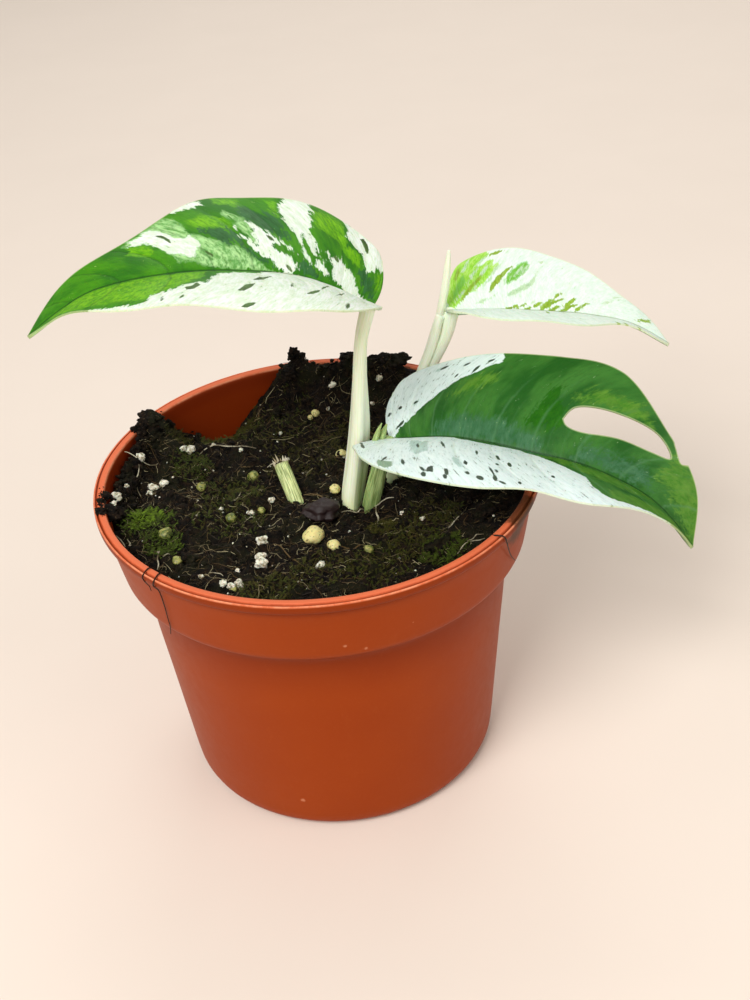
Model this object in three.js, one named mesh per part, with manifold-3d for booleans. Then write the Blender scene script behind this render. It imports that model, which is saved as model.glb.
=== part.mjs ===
// A marble dragon tail plant in a 12 cm nursery pot.
// Millimetres, +Z up. The origin is the centre of the pot's underside, the photographed side faces -Y.

import * as THREE from "three";
import { mergeVertices } from "three/addons/utils/BufferGeometryUtils.js";
import Module from "manifold-3d";

const wasm = await Module();
wasm.setup();

// Driving dimensions

const gap = 0.3; // between touching pieces

const potHeight = 92;
const rimRadius = 60;
const collarFootRadius = 55.9;
const collarFootHeight = 74;
const bodyTopRadius = 50.6;
const bodyFootRadius = 45;
const footRingRadius = 41;
const padRadius = 14;
const wallThickness = 1.4;
const floorThickness = 3.2;
const channelRise = 2;
const drainHole = { radius: 4.5, circle: 27, count: 6, segments: 24 };
const potSegments = 56;

const soilRings = [53.5, 50, 46, 41, 35, 28, 21, 14, 7];
const soilCentreHeight = 81;
const soilEdgeRise = 4;
const shoreRadius = 55; // where the height of the soil's outer edge is read
const shoreInset = 0.1;
const lumpSeed = 7;
const strayLumps = { count: 6, inner: 20, outer: 50, half: 2.2, halfUp: 1.7 };

const bladeThickness = 0.8;
const midribDepth = 1.1;
const midribTaper = 0.7;
const veinLag = 1.7; // how far the side veins leave the midrib behind the edge that they run to
const veinSag = 0.045;
const lobeSag = 1.2;
const bladeRows = 18;
const bladeColumns = 6;
const bladeRoomHeight = 9;

const stalkSides = 16;
const stalkSteps = 11;
const wingTurn = 0.78; // radians from the groove to the crest of a sheath wing
const wingSpread = 0.4;
const grooveShare = 0.5;

const finishes = {
  pot: { color: 0xb4562f, roughness: 0.55 },
  soil: { color: 0x1d1712, roughness: 0.95 },
  buried_stem: { color: 0x8a8a5a, roughness: 0.6 },
  petiole_left: { color: 0xdfe8c0, roughness: 0.45 },
  blade_left: { color: 0x9fcf86, roughness: 0.35 },
  petiole_upper_right: { color: 0xe6ecc9, roughness: 0.45 },
  new_leaf: { color: 0xeef0d6, roughness: 0.45 },
  blade_upper_right: { color: 0xe4f2dc, roughness: 0.35 },
  petiole_lower_right: { color: 0xa9bd72, roughness: 0.45 },
  blade_lower_right: { color: 0x86b57a, roughness: 0.35 },
  cut_petiole: { color: 0x9fb065, roughness: 0.5 },
};

// Profile of the pot, as [radius, height], up the outside and then down the inside

const potOuter = [
  [0, 0], [padRadius, 0], [padRadius + 1.5, channelRise], [36, channelRise], [37.5, 0],
  [footRingRadius, 0], [43.3, 1], [44.6, 3.2], [bodyFootRadius, 6.8],
  [bodyTopRadius, 66], [51.3, 68.4], [54.6, 71], [55.6, 72.2], [collarFootRadius, 73.6],
  [58.4, 88.4], [59.6, 89], [rimRadius, 89.9], [rimRadius, 91.2], [59.4, potHeight],
];

const potInner = [
  [57.6, potHeight], [56.9, 91.4], [56.6, 88.4], [collarFootRadius - wallThickness, collarFootHeight],
  [54, 72.6], [50, 69.4], [bodyTopRadius - wallThickness, 66.4],
  [bodyFootRadius - wallThickness, 7.4], [42.4, 4.4], [40.6, floorThickness], [0, floorThickness],
];

// The soil's wall, from the floor up: the inside of the pot, drawn in by the gap

const soilWall = potInner.map(([r, z]) => [Math.max(r - gap, 0), z + gap]).reverse();
const soilCollarFoot = collarFootHeight + gap;

// Hills and hollows of the soil, each with its place, its rise over the bed and its spread

const soilForms = [
  { x: -29, y: 46, rise: -10.5, spread: 10 },
  { x: -49, y: 29, rise: 10, spread: 8 },
  { x: -6, y: 54, rise: 12, spread: 6 },
  { x: 8, y: 52, rise: 9.5, spread: 11 },
  { x: 25, y: 48, rise: 10, spread: 12 },
  { x: 47, y: 20, rise: 4, spread: 15 },
  { x: 44, y: -24, rise: 2.5, spread: 14 },
  { x: -38, y: -12, rise: 2.2, spread: 12 },
  { x: 3, y: -34, rise: 1.6, spread: 12 },
  { x: -22, y: 14, rise: -2.2, spread: 9 },
  { x: 12, y: -12, rise: -1.6, spread: 8 },
];

// Lumps that stand out of the soil: x, y, height of the centre over the soil, then half sizes
// along and up

const soilPrills = [
  [-1.8, -20.9, 1, 3.2, 2.4],
  [3.4, -26.2, 0.2, 2.2, 1.6],
  [4.2, 2.8, 0.6, 1.7, 1.9],
  [6.4, 20, 0.3, 2.4, 1.8],
  [-0.5, 39.6, 0.4, 2.2, 1.7],
  [-18.9, 15.7, 0.2, 1.9, 1.5],
  [-24, -7.6, 0.1, 1.9, 1.4],
  [-40.3, -16.9, 0.3, 2.2, 1.7],
];

const soilPerlite = [
  [-36.9, 25.4, 0.4, 2.4, 1.7],
  [-49.6, 20.3, 0.4, 2.3, 1.7],
  [-46.3, 9.3, 0.3, 2, 1.5],
  [-51.6, -2.5, 0.4, 2.2, 1.7],
  [-19, -3.7, 0.4, 2, 1.6],
  [-15.4, -19.5, 0.4, 2.2, 1.6],
  [-15.5, -28.4, 0.5, 2.8, 1.8],
  [-21, -37.8, 0.4, 2.3, 1.7],
];

const soilClods = [
  [0.2, -7.1, 0.6, 5.2, 3],
  [-7, 50, 1, 4.4, 3.4],
  [19, 48, 1.2, 4, 3],
  [-47, 28, 1, 4.4, 3],
  [30, -30, 0.6, 3.6, 2.4],
  [42, -22, 0.8, 4, 2.6],
  [37, 33, 1, 4.2, 2.8],
  [-34, -26, 0.6, 3.6, 2.4],
];

// Crumbs that hang over the rim

const rimCrumbs = [
  { azimuth: 149, radius: 54.8, z: 92, half: 5.2, halfUp: 3.2 },
  { azimuth: 192, radius: 54.4, z: 89.8, half: 6, halfUp: 3.7 },
];

// Leaf stalks: the points of the axis, the radius along it, the height of the sheath's wings, the
// side that the sheath opens to and the fineness of the mesh where it isn't the usual one

const stalkLeft = {
  axis: [[7.9, -2.2, 76], [8.6, -1.5, 82], [10.5, -0.5, 92], [12.2, 0.2, 104], [13.5, 0.3, 118],
    [14.9, 0.7, 129], [17, 1.1, 137.8]],
  radii: [2.35, 2.3, 2, 1.8, 1.65, 1.65, 1.95],
  wing: [0.7, 0.8, 1.15, 1.05, 0.45, 0.08, 0],
  opens: [0.24, 0.97, 0],
};

const stalkUpperRight = {
  axis: [[17.3, 1.3, 75], [21.9, 10.2, 83], [25.8, 19.1, 91], [29.7, 25.8, 98.2], [35, 29.5, 105.2],
    [39, 30.4, 112.2], [41, 30.1, 119.6]],
  radii: [2.4, 2.2, 1.9, 1.75, 1.7, 1.75, 2.3],
  wing: [0.3, 0.3, 0.25, 0.2, 0.1, 0, 0],
  opens: [-1, 0.2, 0.3],
};

const sheathUpperRight = {
  axis: [[29.2, 25.4, 98.4], [31.1, 27.4, 102.5], [33.6, 29, 107.6], [35.4, 29.4, 113], [36.9, 29.4, 119]],
  radii: [1.2, 1.5, 1.55, 1.55, 1.45],
  opens: [-1, 0, 0],
  mesh: { sides: 12, steps: 6 },
};

const sheathBridge = {
  axis: [[37.3, 29.4, 118.2], [38.6, 29.6, 118.2], [40.2, 29.9, 118.1]],
  radii: [1, 0.9, 1.2],
  opens: [0, 0, 1],
  mesh: { sides: 8, steps: 2 },
};

const spike = {
  axis: [[36.6, 29.4, 117], [37.8, 29.6, 121.4], [39, 29.8, 127], [39.8, 30, 132.4], [40.4, 30, 137.4]],
  radii: [0.9, 1, 0.98, 0.78, 0.3],
  opens: [-1, 0, 0],
  mesh: { sides: 10, steps: 6 },
};

const stalkLowerRight = {
  axis: [[13.6, -3.9, 76], [14, -3.6, 80], [15.8, -2.6, 86.4], [17.8, -0.9, 92.6], [20.6, 1.2, 98.2]],
  radii: [2.3, 2.2, 2, 1.9, 1.9],
  wing: [0.3, 0.4, 0.45, 0.4, 0.1],
  opens: [-1, -0.1, 0.4],
};

const sheathTips = [
  {
    axis: [[15, -2.2, 93.4], [16, -1.8, 98.4], [17.2, -1.4, 101.8], [18.4, -1.2, 104.2]],
    radii: [1, 0.9, 0.6, 0.25],
    opens: [-1, 0, 0],
    mesh: { sides: 8, steps: 4 },
  },
  {
    axis: [[16.6, -1, 94], [17.6, -0.3, 98], [18.8, 0.2, 100.8], [19.7, 0.4, 102.8]],
    radii: [1.1, 1.1, 0.8, 0.3],
    opens: [-1, 0, 0],
    mesh: { sides: 8, steps: 4 },
  },
];

const stub = {
  axis: [[-5.6, -1.8, 76], [-6.3, -0.4, 80], [-8.2, 3.6, 84.6], [-10, 7.6, 89]],
  radii: [2.1, 2.1, 2.05, 1.95],
  wing: [0.1, 0.1, 0.1, 0.1],
  opens: [1, 0.3, 0],
  mesh: { sides: 16, steps: 5 },
};

const buriedStem = {
  axis: [[-13, -1.4, 66], [-8, -1.6, 69.6], [-4.6, -1.6, 70.6], [0, -1.6, 70.4], [5, -1.8, 70.6],
    [9, -1.9, 71], [13, -1.8, 71], [17, -0.6, 71], [21, 0.6, 68.6]],
  radii: [3.2, 4.1, 4.6, 3.9, 4.1, 4.6, 4.1, 4.5, 3],
  opens: [0, 0, 1],
  mesh: { sides: 12, steps: 16 },
};

// Leaf blades. The midrib is a curve of evenly spaced points. Each half has an outline on the flat
// leaf, as [along the midrib, out from it], from the lobe behind the stalk to the tip. Roll and fold
// are in degrees at the foot, the middle and the tip; cup bends each half down towards its edge.

const bladeLeft = {
  midrib: [[18.3, 1.2, 136.8], [3.7, -1.2, 147.3], [-13.5, -4.1, 152.4], [-31.3, -6.9, 154.3],
    [-49.2, -9.8, 152.4], [-64.9, -12.2, 143.6]],
  roll: [-1.6, -5.3, -2.6],
  fold: [26.8, 13.8, 16.2],
  rear: {
    side: -1,
    cup: 4.4,
    outline: [[-2.3, 14.9], [0, 20.4], [13.6, 26.8], [27.2, 27.4], [40.9, 27.6], [54.5, 19.3],
      [68.1, 10.8], [81.7, 6.6], [90.8, 0.3]],
  },
  front: {
    side: 1,
    cup: 12.3,
    outline: [[1.2, 6.5], [3.6, 13.5], [8.5, 21.5], [17.5, 27.6], [27.2, 29.3], [40.9, 24], [54.5, 20.2],
      [68.1, 15.5], [81.7, 4.1], [90.8, 0.3]],
  },
};

const bladeUpperRight = {
  midrib: [[39.7, 30, 119.3], [52.1, 28.4, 119.4], [64.5, 26.8, 118.5], [76.8, 25.1, 117.1],
    [88.7, 23.5, 114], [99.2, 22, 107.4]],
  roll: [-2.1, 3.7, 0.7],
  fold: [29, 27.8, 22],
  rear: {
    side: 1,
    cup: 9.5,
    outline: [[0, 6.5], [0.6, 12.5], [3.2, 17.2], [9.4, 20.5], [18.7, 21.3], [28.1, 19.1], [37.4, 14.3],
      [46.8, 8.4], [56.2, 4.2], [62.4, 0.3]],
  },
  front: {
    side: -1,
    cup: 12.7,
    outline: [[0.4, 6.5], [1.4, 12], [4.2, 16.8], [9.4, 19.8], [18.7, 20.5], [28.1, 19.1], [37.4, 15.3],
      [46.8, 8.4], [56.2, 4.4], [62.4, 0.3]],
  },
};

const bladeLowerRight = {
  midrib: [[20.3, 1.3, 97.6], [37.6, -3.8, 99.4], [54.9, -8.7, 96.7], [71.9, -13.5, 92.5],
    [87.2, -17.6, 83.5], [97.9, -20.5, 69.2]],
  roll: [-5.1, 10.4, 13.3],
  fold: [19.2, 30.5, 38.9],
  rear: {
    side: 1,
    cup: 9.3,
    outline: [[-3.1, 16.2], [0, 25.7], [13.6, 27.6], [27.2, 28.2], [40.9, 29.1], [54.5, 27.6],
      [68.1, 17.5], [81.7, 9.2], [90.8, 0.3]],
  },
  front: {
    side: -1,
    cup: 16.4,
    outline: [[-7.2, 11], [0, 23.3], [13.6, 31.9], [27.2, 31], [40.9, 26.4], [54.5, 24.8],
      [68.1, 16.2], [81.7, 5.5], [90.8, 0.3]],
  },
};

// The long hole in the rear half of the lower right blade, on the flat leaf

const leafHole = {
  outline: [[44.3, 10.7], [46.5, 14.5], [52, 16], [60, 16.4], [66.5, 15.5], [70.8, 12], [66, 10.6],
    [58, 10], [50, 8.4], [45.8, 8.9]],
  corners: 24,
  reach: 6,
};

// Geometry helpers

function meshGeometry(points, triangles) {
  const geometry = new THREE.BufferGeometry();
  geometry.setAttribute("position", new THREE.Float32BufferAttribute(points.flatMap((p) => p.toArray()), 3));
  geometry.setIndex(triangles.flat());
  return geometry;
}

// Points that lie together are joined into one.
function joined(geometry) {
  const bare = geometry.clone();
  bare.deleteAttribute("normal");
  bare.deleteAttribute("uv");
  return mergeVertices(bare, 1e-4);
}

function toSolid(geometry) {
  const merged = joined(geometry);
  return new wasm.Manifold(new wasm.Mesh({
    numProp: 3,
    vertProperties: new Float32Array(merged.attributes.position.array),
    triVerts: new Uint32Array(merged.index.array),
  }));
}

function toGeometry(solid) {
  const mesh = solid.getMesh();
  const geometry = new THREE.BufferGeometry();
  geometry.setAttribute("position", new THREE.BufferAttribute(new Float32Array(mesh.vertProperties), 3));
  geometry.setIndex(new THREE.BufferAttribute(new Uint32Array(mesh.triVerts), 1));
  return geometry;
}

// The largest body of a solid, without the loose scraps that a cut leaves.
function mainBody(solid) {
  return solid.decompose().sort((a, b) => b.volume() - a.volume())[0];
}

function vector(point) {
  return new THREE.Vector3(...point);
}

function smoothCurve(points) {
  return new THREE.CatmullRomCurve3(points.map(vector), false, "catmullrom", 0.5);
}

function flatCurve(points) {
  return new THREE.SplineCurve(points.map(([x, y]) => new THREE.Vector2(x, y)));
}

// The value at t of numbers spread evenly over 0 to 1, joined by straight steps.
function along(values, t) {
  const place = THREE.MathUtils.clamp(t, 0, 1) * (values.length - 1);
  const step = Math.min(Math.floor(place), values.length - 2);
  return THREE.MathUtils.lerp(values[step], values[step + 1], place - step);
}

// The parabola through three values at the foot, the middle and the tip.
function throughThree([foot, middle, tip], t) {
  return foot * (1 - t) * (1 - 2 * t) + 4 * middle * t * (1 - t) + tip * t * (2 * t - 1);
}

function bump(x, width) {
  return Math.exp(-((x / width) ** 2));
}

// Closed rings of points joined into a body, with a flat fan over each end.
function loft(rings) {
  const sides = rings[0].length;
  const points = rings.flat();
  const triangles = [];
  for (let ring = 0; ring < rings.length - 1; ring += 1) {
    for (let side = 0; side < sides; side += 1) {
      const next = (side + 1) % sides;
      const a = ring * sides + side;
      const b = ring * sides + next;
      triangles.push([a, b, b + sides], [a, b + sides, a + sides]);
    }
  }
  const last = (rings.length - 1) * sides;
  for (let side = 1; side < sides - 1; side += 1) {
    triangles.push([0, side + 1, side], [last, last + side, last + side + 1]);
  }
  return meshGeometry(points, triangles);
}

// A stalk swept along its axis. Two sheath wings stand on either side of a groove that faces
// the stalk's open side. A grown stalk, for a hole, is wider all round.
function stalkGeometry(stalk, { grow = 0, sides = stalkSides, steps = stalkSteps } = {}) {
  const curve = smoothCurve(stalk.axis);
  const rings = [];
  for (let step = 0; step <= steps; step += 1) {
    const t = step / steps;
    const centre = curve.getPoint(t);
    const tangent = curve.getTangent(t);
    const across = new THREE.Vector3().crossVectors(tangent, vector(stalk.opens)).normalize();
    const open = new THREE.Vector3().crossVectors(across, tangent);
    const wing = stalk.wing ? along(stalk.wing, t) : 0;
    const ring = [];
    for (let side = 0; side < sides; side += 1) {
      const angle = (side / sides) * 2 * Math.PI;
      const turn = angle > Math.PI ? angle - 2 * Math.PI : angle;
      const wings = bump(turn - wingTurn, wingSpread) + bump(turn + wingTurn, wingSpread);
      const shape = 1 + wing * (wings - grooveShare * bump(turn, wingSpread));
      const radius = along(stalk.radii, t) * shape + grow;
      ring.push(centre.clone()
        .addScaledVector(open, radius * Math.cos(angle))
        .addScaledVector(across, radius * Math.sin(angle)));
    }
    rings.push(ring);
  }
  return loft(rings);
}

// The pot: one turned profile, with round holes through the channel in its floor

function turned(points) {
  return new THREE.LatheGeometry(points.map(([r, z]) => new THREE.Vector2(r, z)), potSegments)
    .rotateX(Math.PI / 2);
}

function potSolid() {
  const { radius, circle, count, segments } = drainHole;
  let solid = toSolid(turned([...potOuter, ...potInner]));
  for (let index = 0; index < count; index += 1) {
    const angle = ((index + 0.5) / count) * 2 * Math.PI;
    const drill = new THREE.CylinderGeometry(radius, radius, 4 * floorThickness, segments)
      .rotateX(Math.PI / 2)
      .translate(circle * Math.cos(angle), circle * Math.sin(angle), floorThickness / 2);
    solid = solid.subtract(toSolid(drill));
  }
  return solid;
}

// The soil: a bed with hills and hollows that fills the pot, with lumps fused into its top

function soilHeight(x, y) {
  const bowl = soilEdgeRise * (Math.hypot(x, y) / rimRadius) ** 2;
  const forms = soilForms.reduce((sum, form) => (
    sum + form.rise * bump(Math.hypot(x - form.x, y - form.y), form.spread)), 0);
  const longRipple = 0.55 * Math.sin(0.31 * x + 1.3) * Math.cos(0.27 * y);
  const shortRipple = 0.35 * Math.sin(0.62 * y - 0.44 * x);
  return soilCentreHeight + bowl + forms + longRipple + shortRipple;
}

// The radius at a height of the soil's wall.
function soilReach(z) {
  const upper = soilWall.findIndex(([, height]) => height > z);
  const [lowRadius, low] = soilWall[upper - 1];
  const [highRadius, high] = soilWall[upper];
  return THREE.MathUtils.mapLinear(z, low, high, lowRadius, highRadius);
}

function soilBed() {
  const angles = Array.from({ length: potSegments }, (_, sector) => (sector / potSegments) * 2 * Math.PI);
  const ring = (radiusAndHeight) => angles.map((angle) => {
    const [radius, z] = radiusAndHeight(Math.cos(angle), Math.sin(angle));
    return new THREE.Vector3(radius * Math.cos(angle), radius * Math.sin(angle), z);
  });
  const wallRings = soilWall
    .filter(([radius, z]) => radius > 0 && z <= soilCollarFoot)
    .map((place) => ring(() => place));
  const shore = ring((cos, sin) => {
    const z = Math.min(soilHeight(shoreRadius * cos, shoreRadius * sin), potHeight);
    return [soilReach(z) - shoreInset, z];
  });
  const topRings = soilRings.map((radius) => (
    ring((cos, sin) => [radius, soilHeight(radius * cos, radius * sin)])));
  return toSolid(loft([...wallRings, shore, ...topRings]));
}

// The same draws every time, between 0 and 1.
function seededDraw(seed) {
  let state = seed;
  return () => {
    state = (state * 48271) % 2147483647;
    return state / 2147483647;
  };
}

// A rough lump: an icosahedron with its corners drawn in or out.
function lump(draw, centre, half, halfUp) {
  const ball = joined(new THREE.IcosahedronGeometry(1, 0));
  const corners = ball.attributes.position;
  for (let corner = 0; corner < corners.count; corner += 1) {
    const stretch = 0.85 + 0.3 * draw();
    const place = new THREE.Vector3().fromBufferAttribute(corners, corner).multiplyScalar(stretch);
    corners.setXYZ(corner, place.x, place.y, place.z);
  }
  return toSolid(ball
    .rotateZ(2 * Math.PI * draw())
    .scale(half, half * (0.75 + 0.2 * draw()), halfUp)
    .translate(...centre));
}

function soilLumps() {
  const draw = seededDraw(lumpSeed);
  const set = [...soilPrills, ...soilPerlite, ...soilClods].map(([x, y, rise, half, halfUp]) => (
    lump(draw, [x, y, soilHeight(x, y) + rise], half, halfUp)));
  const strays = Array.from({ length: strayLumps.count }, () => {
    const angle = 2 * Math.PI * draw();
    const radius = THREE.MathUtils.lerp(strayLumps.inner, strayLumps.outer, Math.sqrt(draw()));
    const x = radius * Math.cos(angle);
    const y = radius * Math.sin(angle);
    return lump(draw, [x, y, soilHeight(x, y)], strayLumps.half, strayLumps.halfUp);
  });
  const spilt = rimCrumbs.map(({ azimuth, radius, z, half, halfUp }) => {
    const angle = THREE.MathUtils.degToRad(azimuth);
    return lump(draw, [radius * Math.cos(angle), radius * Math.sin(angle), z], half, halfUp);
  });
  return [...set, ...strays, ...spilt];
}

// The room that the pot's collar and rim take up beside the soil, with the gap round them.
function collarRoom() {
  const collar = soilWall.filter(([, z]) => z >= soilCollarFoot).reverse();
  const [footRadius, foot] = collar[collar.length - 1];
  const outside = rimRadius + 10;
  return toSolid(turned([
    [footRadius, foot], [outside, foot], [outside, potHeight], [rimRadius + gap, potHeight + gap], ...collar,
  ]));
}

function soilSolid(holes) {
  const heaped = soilLumps().reduce((solid, piece) => solid.add(piece), soilBed());
  return mainBody([collarRoom(), ...holes].reduce((solid, room) => solid.subtract(room), heaped));
}

// Blades

// Where a point of the flat leaf lies once the leaf is bent.
function bend(blade, half, x, y) {
  const length = half.outline[half.outline.length - 1][0];
  const t = THREE.MathUtils.clamp(x / length, 0, 1);
  const curve = smoothCurve(blade.midrib);
  const tangent = curve.getTangent(t);
  const roll = THREE.MathUtils.degToRad(throughThree(blade.roll, t));
  const level = new THREE.Vector3(0, 0, 1).cross(tangent).normalize().applyAxisAngle(tangent, roll);
  const up = new THREE.Vector3().crossVectors(tangent, level);
  const halfWidth = Math.max(...half.outline.map((point) => point[1]));
  const droop = (half.cup * y) / (2 * halfWidth);
  const slope = THREE.MathUtils.degToRad(throughThree(blade.fold, t) - droop);
  return curve.getPoint(t)
    .addScaledVector(tangent, Math.min(x, 0))
    .addScaledVector(level, half.side * y * Math.cos(slope))
    .addScaledVector(up, y * Math.sin(slope));
}

// The flat point at a row and a column of a half's grid: rows follow the side veins, which leave
// the midrib behind the edge point that they run to, and columns go from the midrib to the edge.
function flatPoint(half, row, column) {
  const length = half.outline[half.outline.length - 1][0];
  const edge = flatCurve(half.outline).getPoint(row);
  const root = new THREE.Vector2(length * row ** veinLag, 0);
  const depth = veinSag * length * Math.sin(Math.PI * row) + lobeSag * (1 - row) ** 8;
  const sag = 4 * column * (1 - column) * depth;
  return root.lerp(edge, column).sub(new THREE.Vector2(sag, 0));
}

// A blade as one closed body. Its two faces have the same triangles, so they never cross. A grown
// blade is larger on its faces and at the notch, and a lifted one reaches from its middle upwards.
function bladeGeometry(blade, { grow = 0, lift = 0 } = {}) {
  const width = 2 * bladeColumns + 1;
  const at = (row, column) => row * width + column;
  const middles = [];
  for (let row = 0; row <= bladeRows; row += 1) {
    for (let column = -bladeColumns; column <= bladeColumns; column += 1) {
      const half = column < 0 ? blade.rear : blade.front;
      const flat = flatPoint(half, row / bladeRows, Math.abs(column) / bladeColumns);
      middles.push(bend(blade, half, flat.x - (row === 0 ? grow : 0), flat.y));
    }
  }
  const faces = [];
  for (let row = 0; row < bladeRows; row += 1) {
    for (let column = 0; column < width - 1; column += 1) {
      const a = at(row, column);
      const b = at(row + 1, column);
      const c = b + 1;
      const d = a + 1;
      if (column < bladeColumns) {
        faces.push([a, b, c], [a, c, d]);
      } else {
        faces.push([a, b, d], [b, c, d]);
      }
    }
  }
  const facesUp = blade.front.side > 0 ? faces : faces.map(([a, b, c]) => [a, c, b]);
  const face = meshGeometry(middles, facesUp);
  face.computeVertexNormals();
  const uppers = [];
  const lowers = [];
  middles.forEach((middle, index) => {
    const normal = new THREE.Vector3().fromBufferAttribute(face.attributes.normal, index);
    const onMidrib = index % width === bladeColumns;
    const rib = onMidrib ? midribDepth * (1 - midribTaper * (Math.floor(index / width) / bladeRows)) : 0;
    const depth = lift > 0 ? 0 : bladeThickness / 2 + rib + grow;
    const upper = middle.clone().addScaledVector(normal, bladeThickness / 2 + grow);
    uppers.push(upper.add(new THREE.Vector3(0, 0, lift)));
    lowers.push(middle.clone().addScaledVector(normal, -depth));
  });
  const count = middles.length;
  const triangles = [...facesUp, ...facesUp.map(([a, b, c]) => [a + count, c + count, b + count])];
  const border = [];
  for (let column = 0; column < width; column += 1) {
    border.push(at(0, column));
  }
  for (let row = 1; row <= bladeRows; row += 1) {
    border.push(at(row, width - 1));
  }
  for (let column = width - 2; column >= 0; column -= 1) {
    border.push(at(bladeRows, column));
  }
  for (let row = bladeRows - 1; row > 0; row -= 1) {
    border.push(at(row, 0));
  }
  if (blade.front.side < 0) {
    border.reverse();
  }
  border.forEach((a, index) => {
    const b = border[(index + 1) % border.length];
    triangles.push([a, b, a + count], [b, b + count, a + count]);
  });
  return meshGeometry([...uppers, ...lowers], triangles);
}

// The room above and around a blade that its stalk leaves free.
function bladeRoom(blade) {
  return toSolid(bladeGeometry(blade, { grow: gap }))
    .add(toSolid(bladeGeometry(blade, { lift: bladeRoomHeight })));
}

// The plug that cuts the long hole: its outline on the leaf, pushed through both faces.
function leafHolePlug(blade) {
  const { corners, reach } = leafHole;
  const outline = flatCurve([...leafHole.outline, leafHole.outline[0]]);
  const edge = Array.from({ length: corners }, (_, corner) => outline.getPoint(corner / corners))
    .map(({ x, y }) => bend(blade, blade.rear, x, y));
  const raised = (height) => edge.map((point) => point.clone().add(new THREE.Vector3(0, 0, height)));
  return loft([raised(reach), raised(-reach)]);
}

// Assembly

const plant = new THREE.Group();

function addPiece(name, geometry) {
  const material = new THREE.MeshStandardMaterial({ ...finishes[name], metalness: 0 });
  const piece = new THREE.Mesh(geometry, material);
  piece.name = name;
  plant.add(piece);
}

const stalk = (shape, options) => toSolid(stalkGeometry(shape, options));
const stalkRoom = (shape) => stalk(shape, { ...shape.mesh, grow: gap });

const stemRoom = stalkRoom(buriedStem);
const stemHoles = [stalkLeft, stalkUpperRight, stalkLowerRight, stub].map(stalkRoom);

addPiece("pot", toGeometry(potSolid()));
addPiece("soil", toGeometry(soilSolid([...stemHoles, stemRoom])));
addPiece("buried_stem", toGeometry(stalk(buriedStem, buriedStem.mesh)));

addPiece("petiole_left", toGeometry(mainBody(stalk(stalkLeft)
  .subtract(bladeRoom(bladeLeft))
  .subtract(stemRoom))));
addPiece("blade_left", bladeGeometry(bladeLeft));

addPiece("petiole_upper_right", toGeometry(stalk(stalkUpperRight)
  .add(stalk(sheathUpperRight, sheathUpperRight.mesh))
  .add(stalk(sheathBridge, sheathBridge.mesh))
  .subtract(bladeRoom(bladeUpperRight))
  .subtract(stalkRoom(spike))
  .subtract(stemRoom)));
addPiece("new_leaf", stalkGeometry(spike, spike.mesh));
addPiece("blade_upper_right", bladeGeometry(bladeUpperRight));

const sheathed = sheathTips.reduce((solid, tip) => solid.add(stalk(tip, tip.mesh)), stalk(stalkLowerRight));
addPiece("petiole_lower_right", toGeometry(sheathed
  .subtract(bladeRoom(bladeLowerRight))
  .subtract(stemRoom)));
addPiece("blade_lower_right", toGeometry(toSolid(bladeGeometry(bladeLowerRight))
  .subtract(toSolid(leafHolePlug(bladeLowerRight)))));

addPiece("cut_petiole", toGeometry(stalk(stub, stub.mesh).subtract(stemRoom)));

export default plant;
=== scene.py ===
import math
import random

import bpy
import numpy as np
from mathutils import Matrix, Vector, noise


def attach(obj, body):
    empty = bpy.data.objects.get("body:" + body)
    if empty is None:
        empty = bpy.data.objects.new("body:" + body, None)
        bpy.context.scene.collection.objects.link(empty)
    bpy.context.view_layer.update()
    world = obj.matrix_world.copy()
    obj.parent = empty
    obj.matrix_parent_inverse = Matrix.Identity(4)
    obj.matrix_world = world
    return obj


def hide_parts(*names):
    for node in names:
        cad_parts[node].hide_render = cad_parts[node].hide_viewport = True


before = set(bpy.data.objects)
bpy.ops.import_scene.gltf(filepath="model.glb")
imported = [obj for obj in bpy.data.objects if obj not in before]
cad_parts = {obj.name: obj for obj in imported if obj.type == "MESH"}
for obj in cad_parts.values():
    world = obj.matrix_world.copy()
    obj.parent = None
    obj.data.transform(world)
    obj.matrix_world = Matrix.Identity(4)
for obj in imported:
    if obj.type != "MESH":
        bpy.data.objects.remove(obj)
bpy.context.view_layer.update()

# Sizes below are millimetres of the real plant, and MM turns them into the frame's metres.
MM = 0.001

# Camera
# It stands in front of the pot, looks down on the soil and is turned a little on its own axis.

bpy.ops.object.camera_add()
camera = bpy.context.object
camera.data.lens = 50
camera.data.sensor_width = 36
camera.matrix_world = Matrix((
    (0.9963, 0.0859, 0.0, 14.9 * MM),
    (-0.0486, 0.5637, -0.8245, -314.0 * MM),
    (-0.0709, 0.8215, 0.5658, 294.6 * MM),
    (0, 0, 0, 1),
))
bpy.context.scene.camera = camera

# Pot
# A thin injection-moulded nursery pot of matt terracotta-coloured polypropylene. It is turned in one
# profile: foot ring, tapered body, shoulder, flared collar and a lip with a fine groove in it. Drain
# holes go through its floor.

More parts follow.
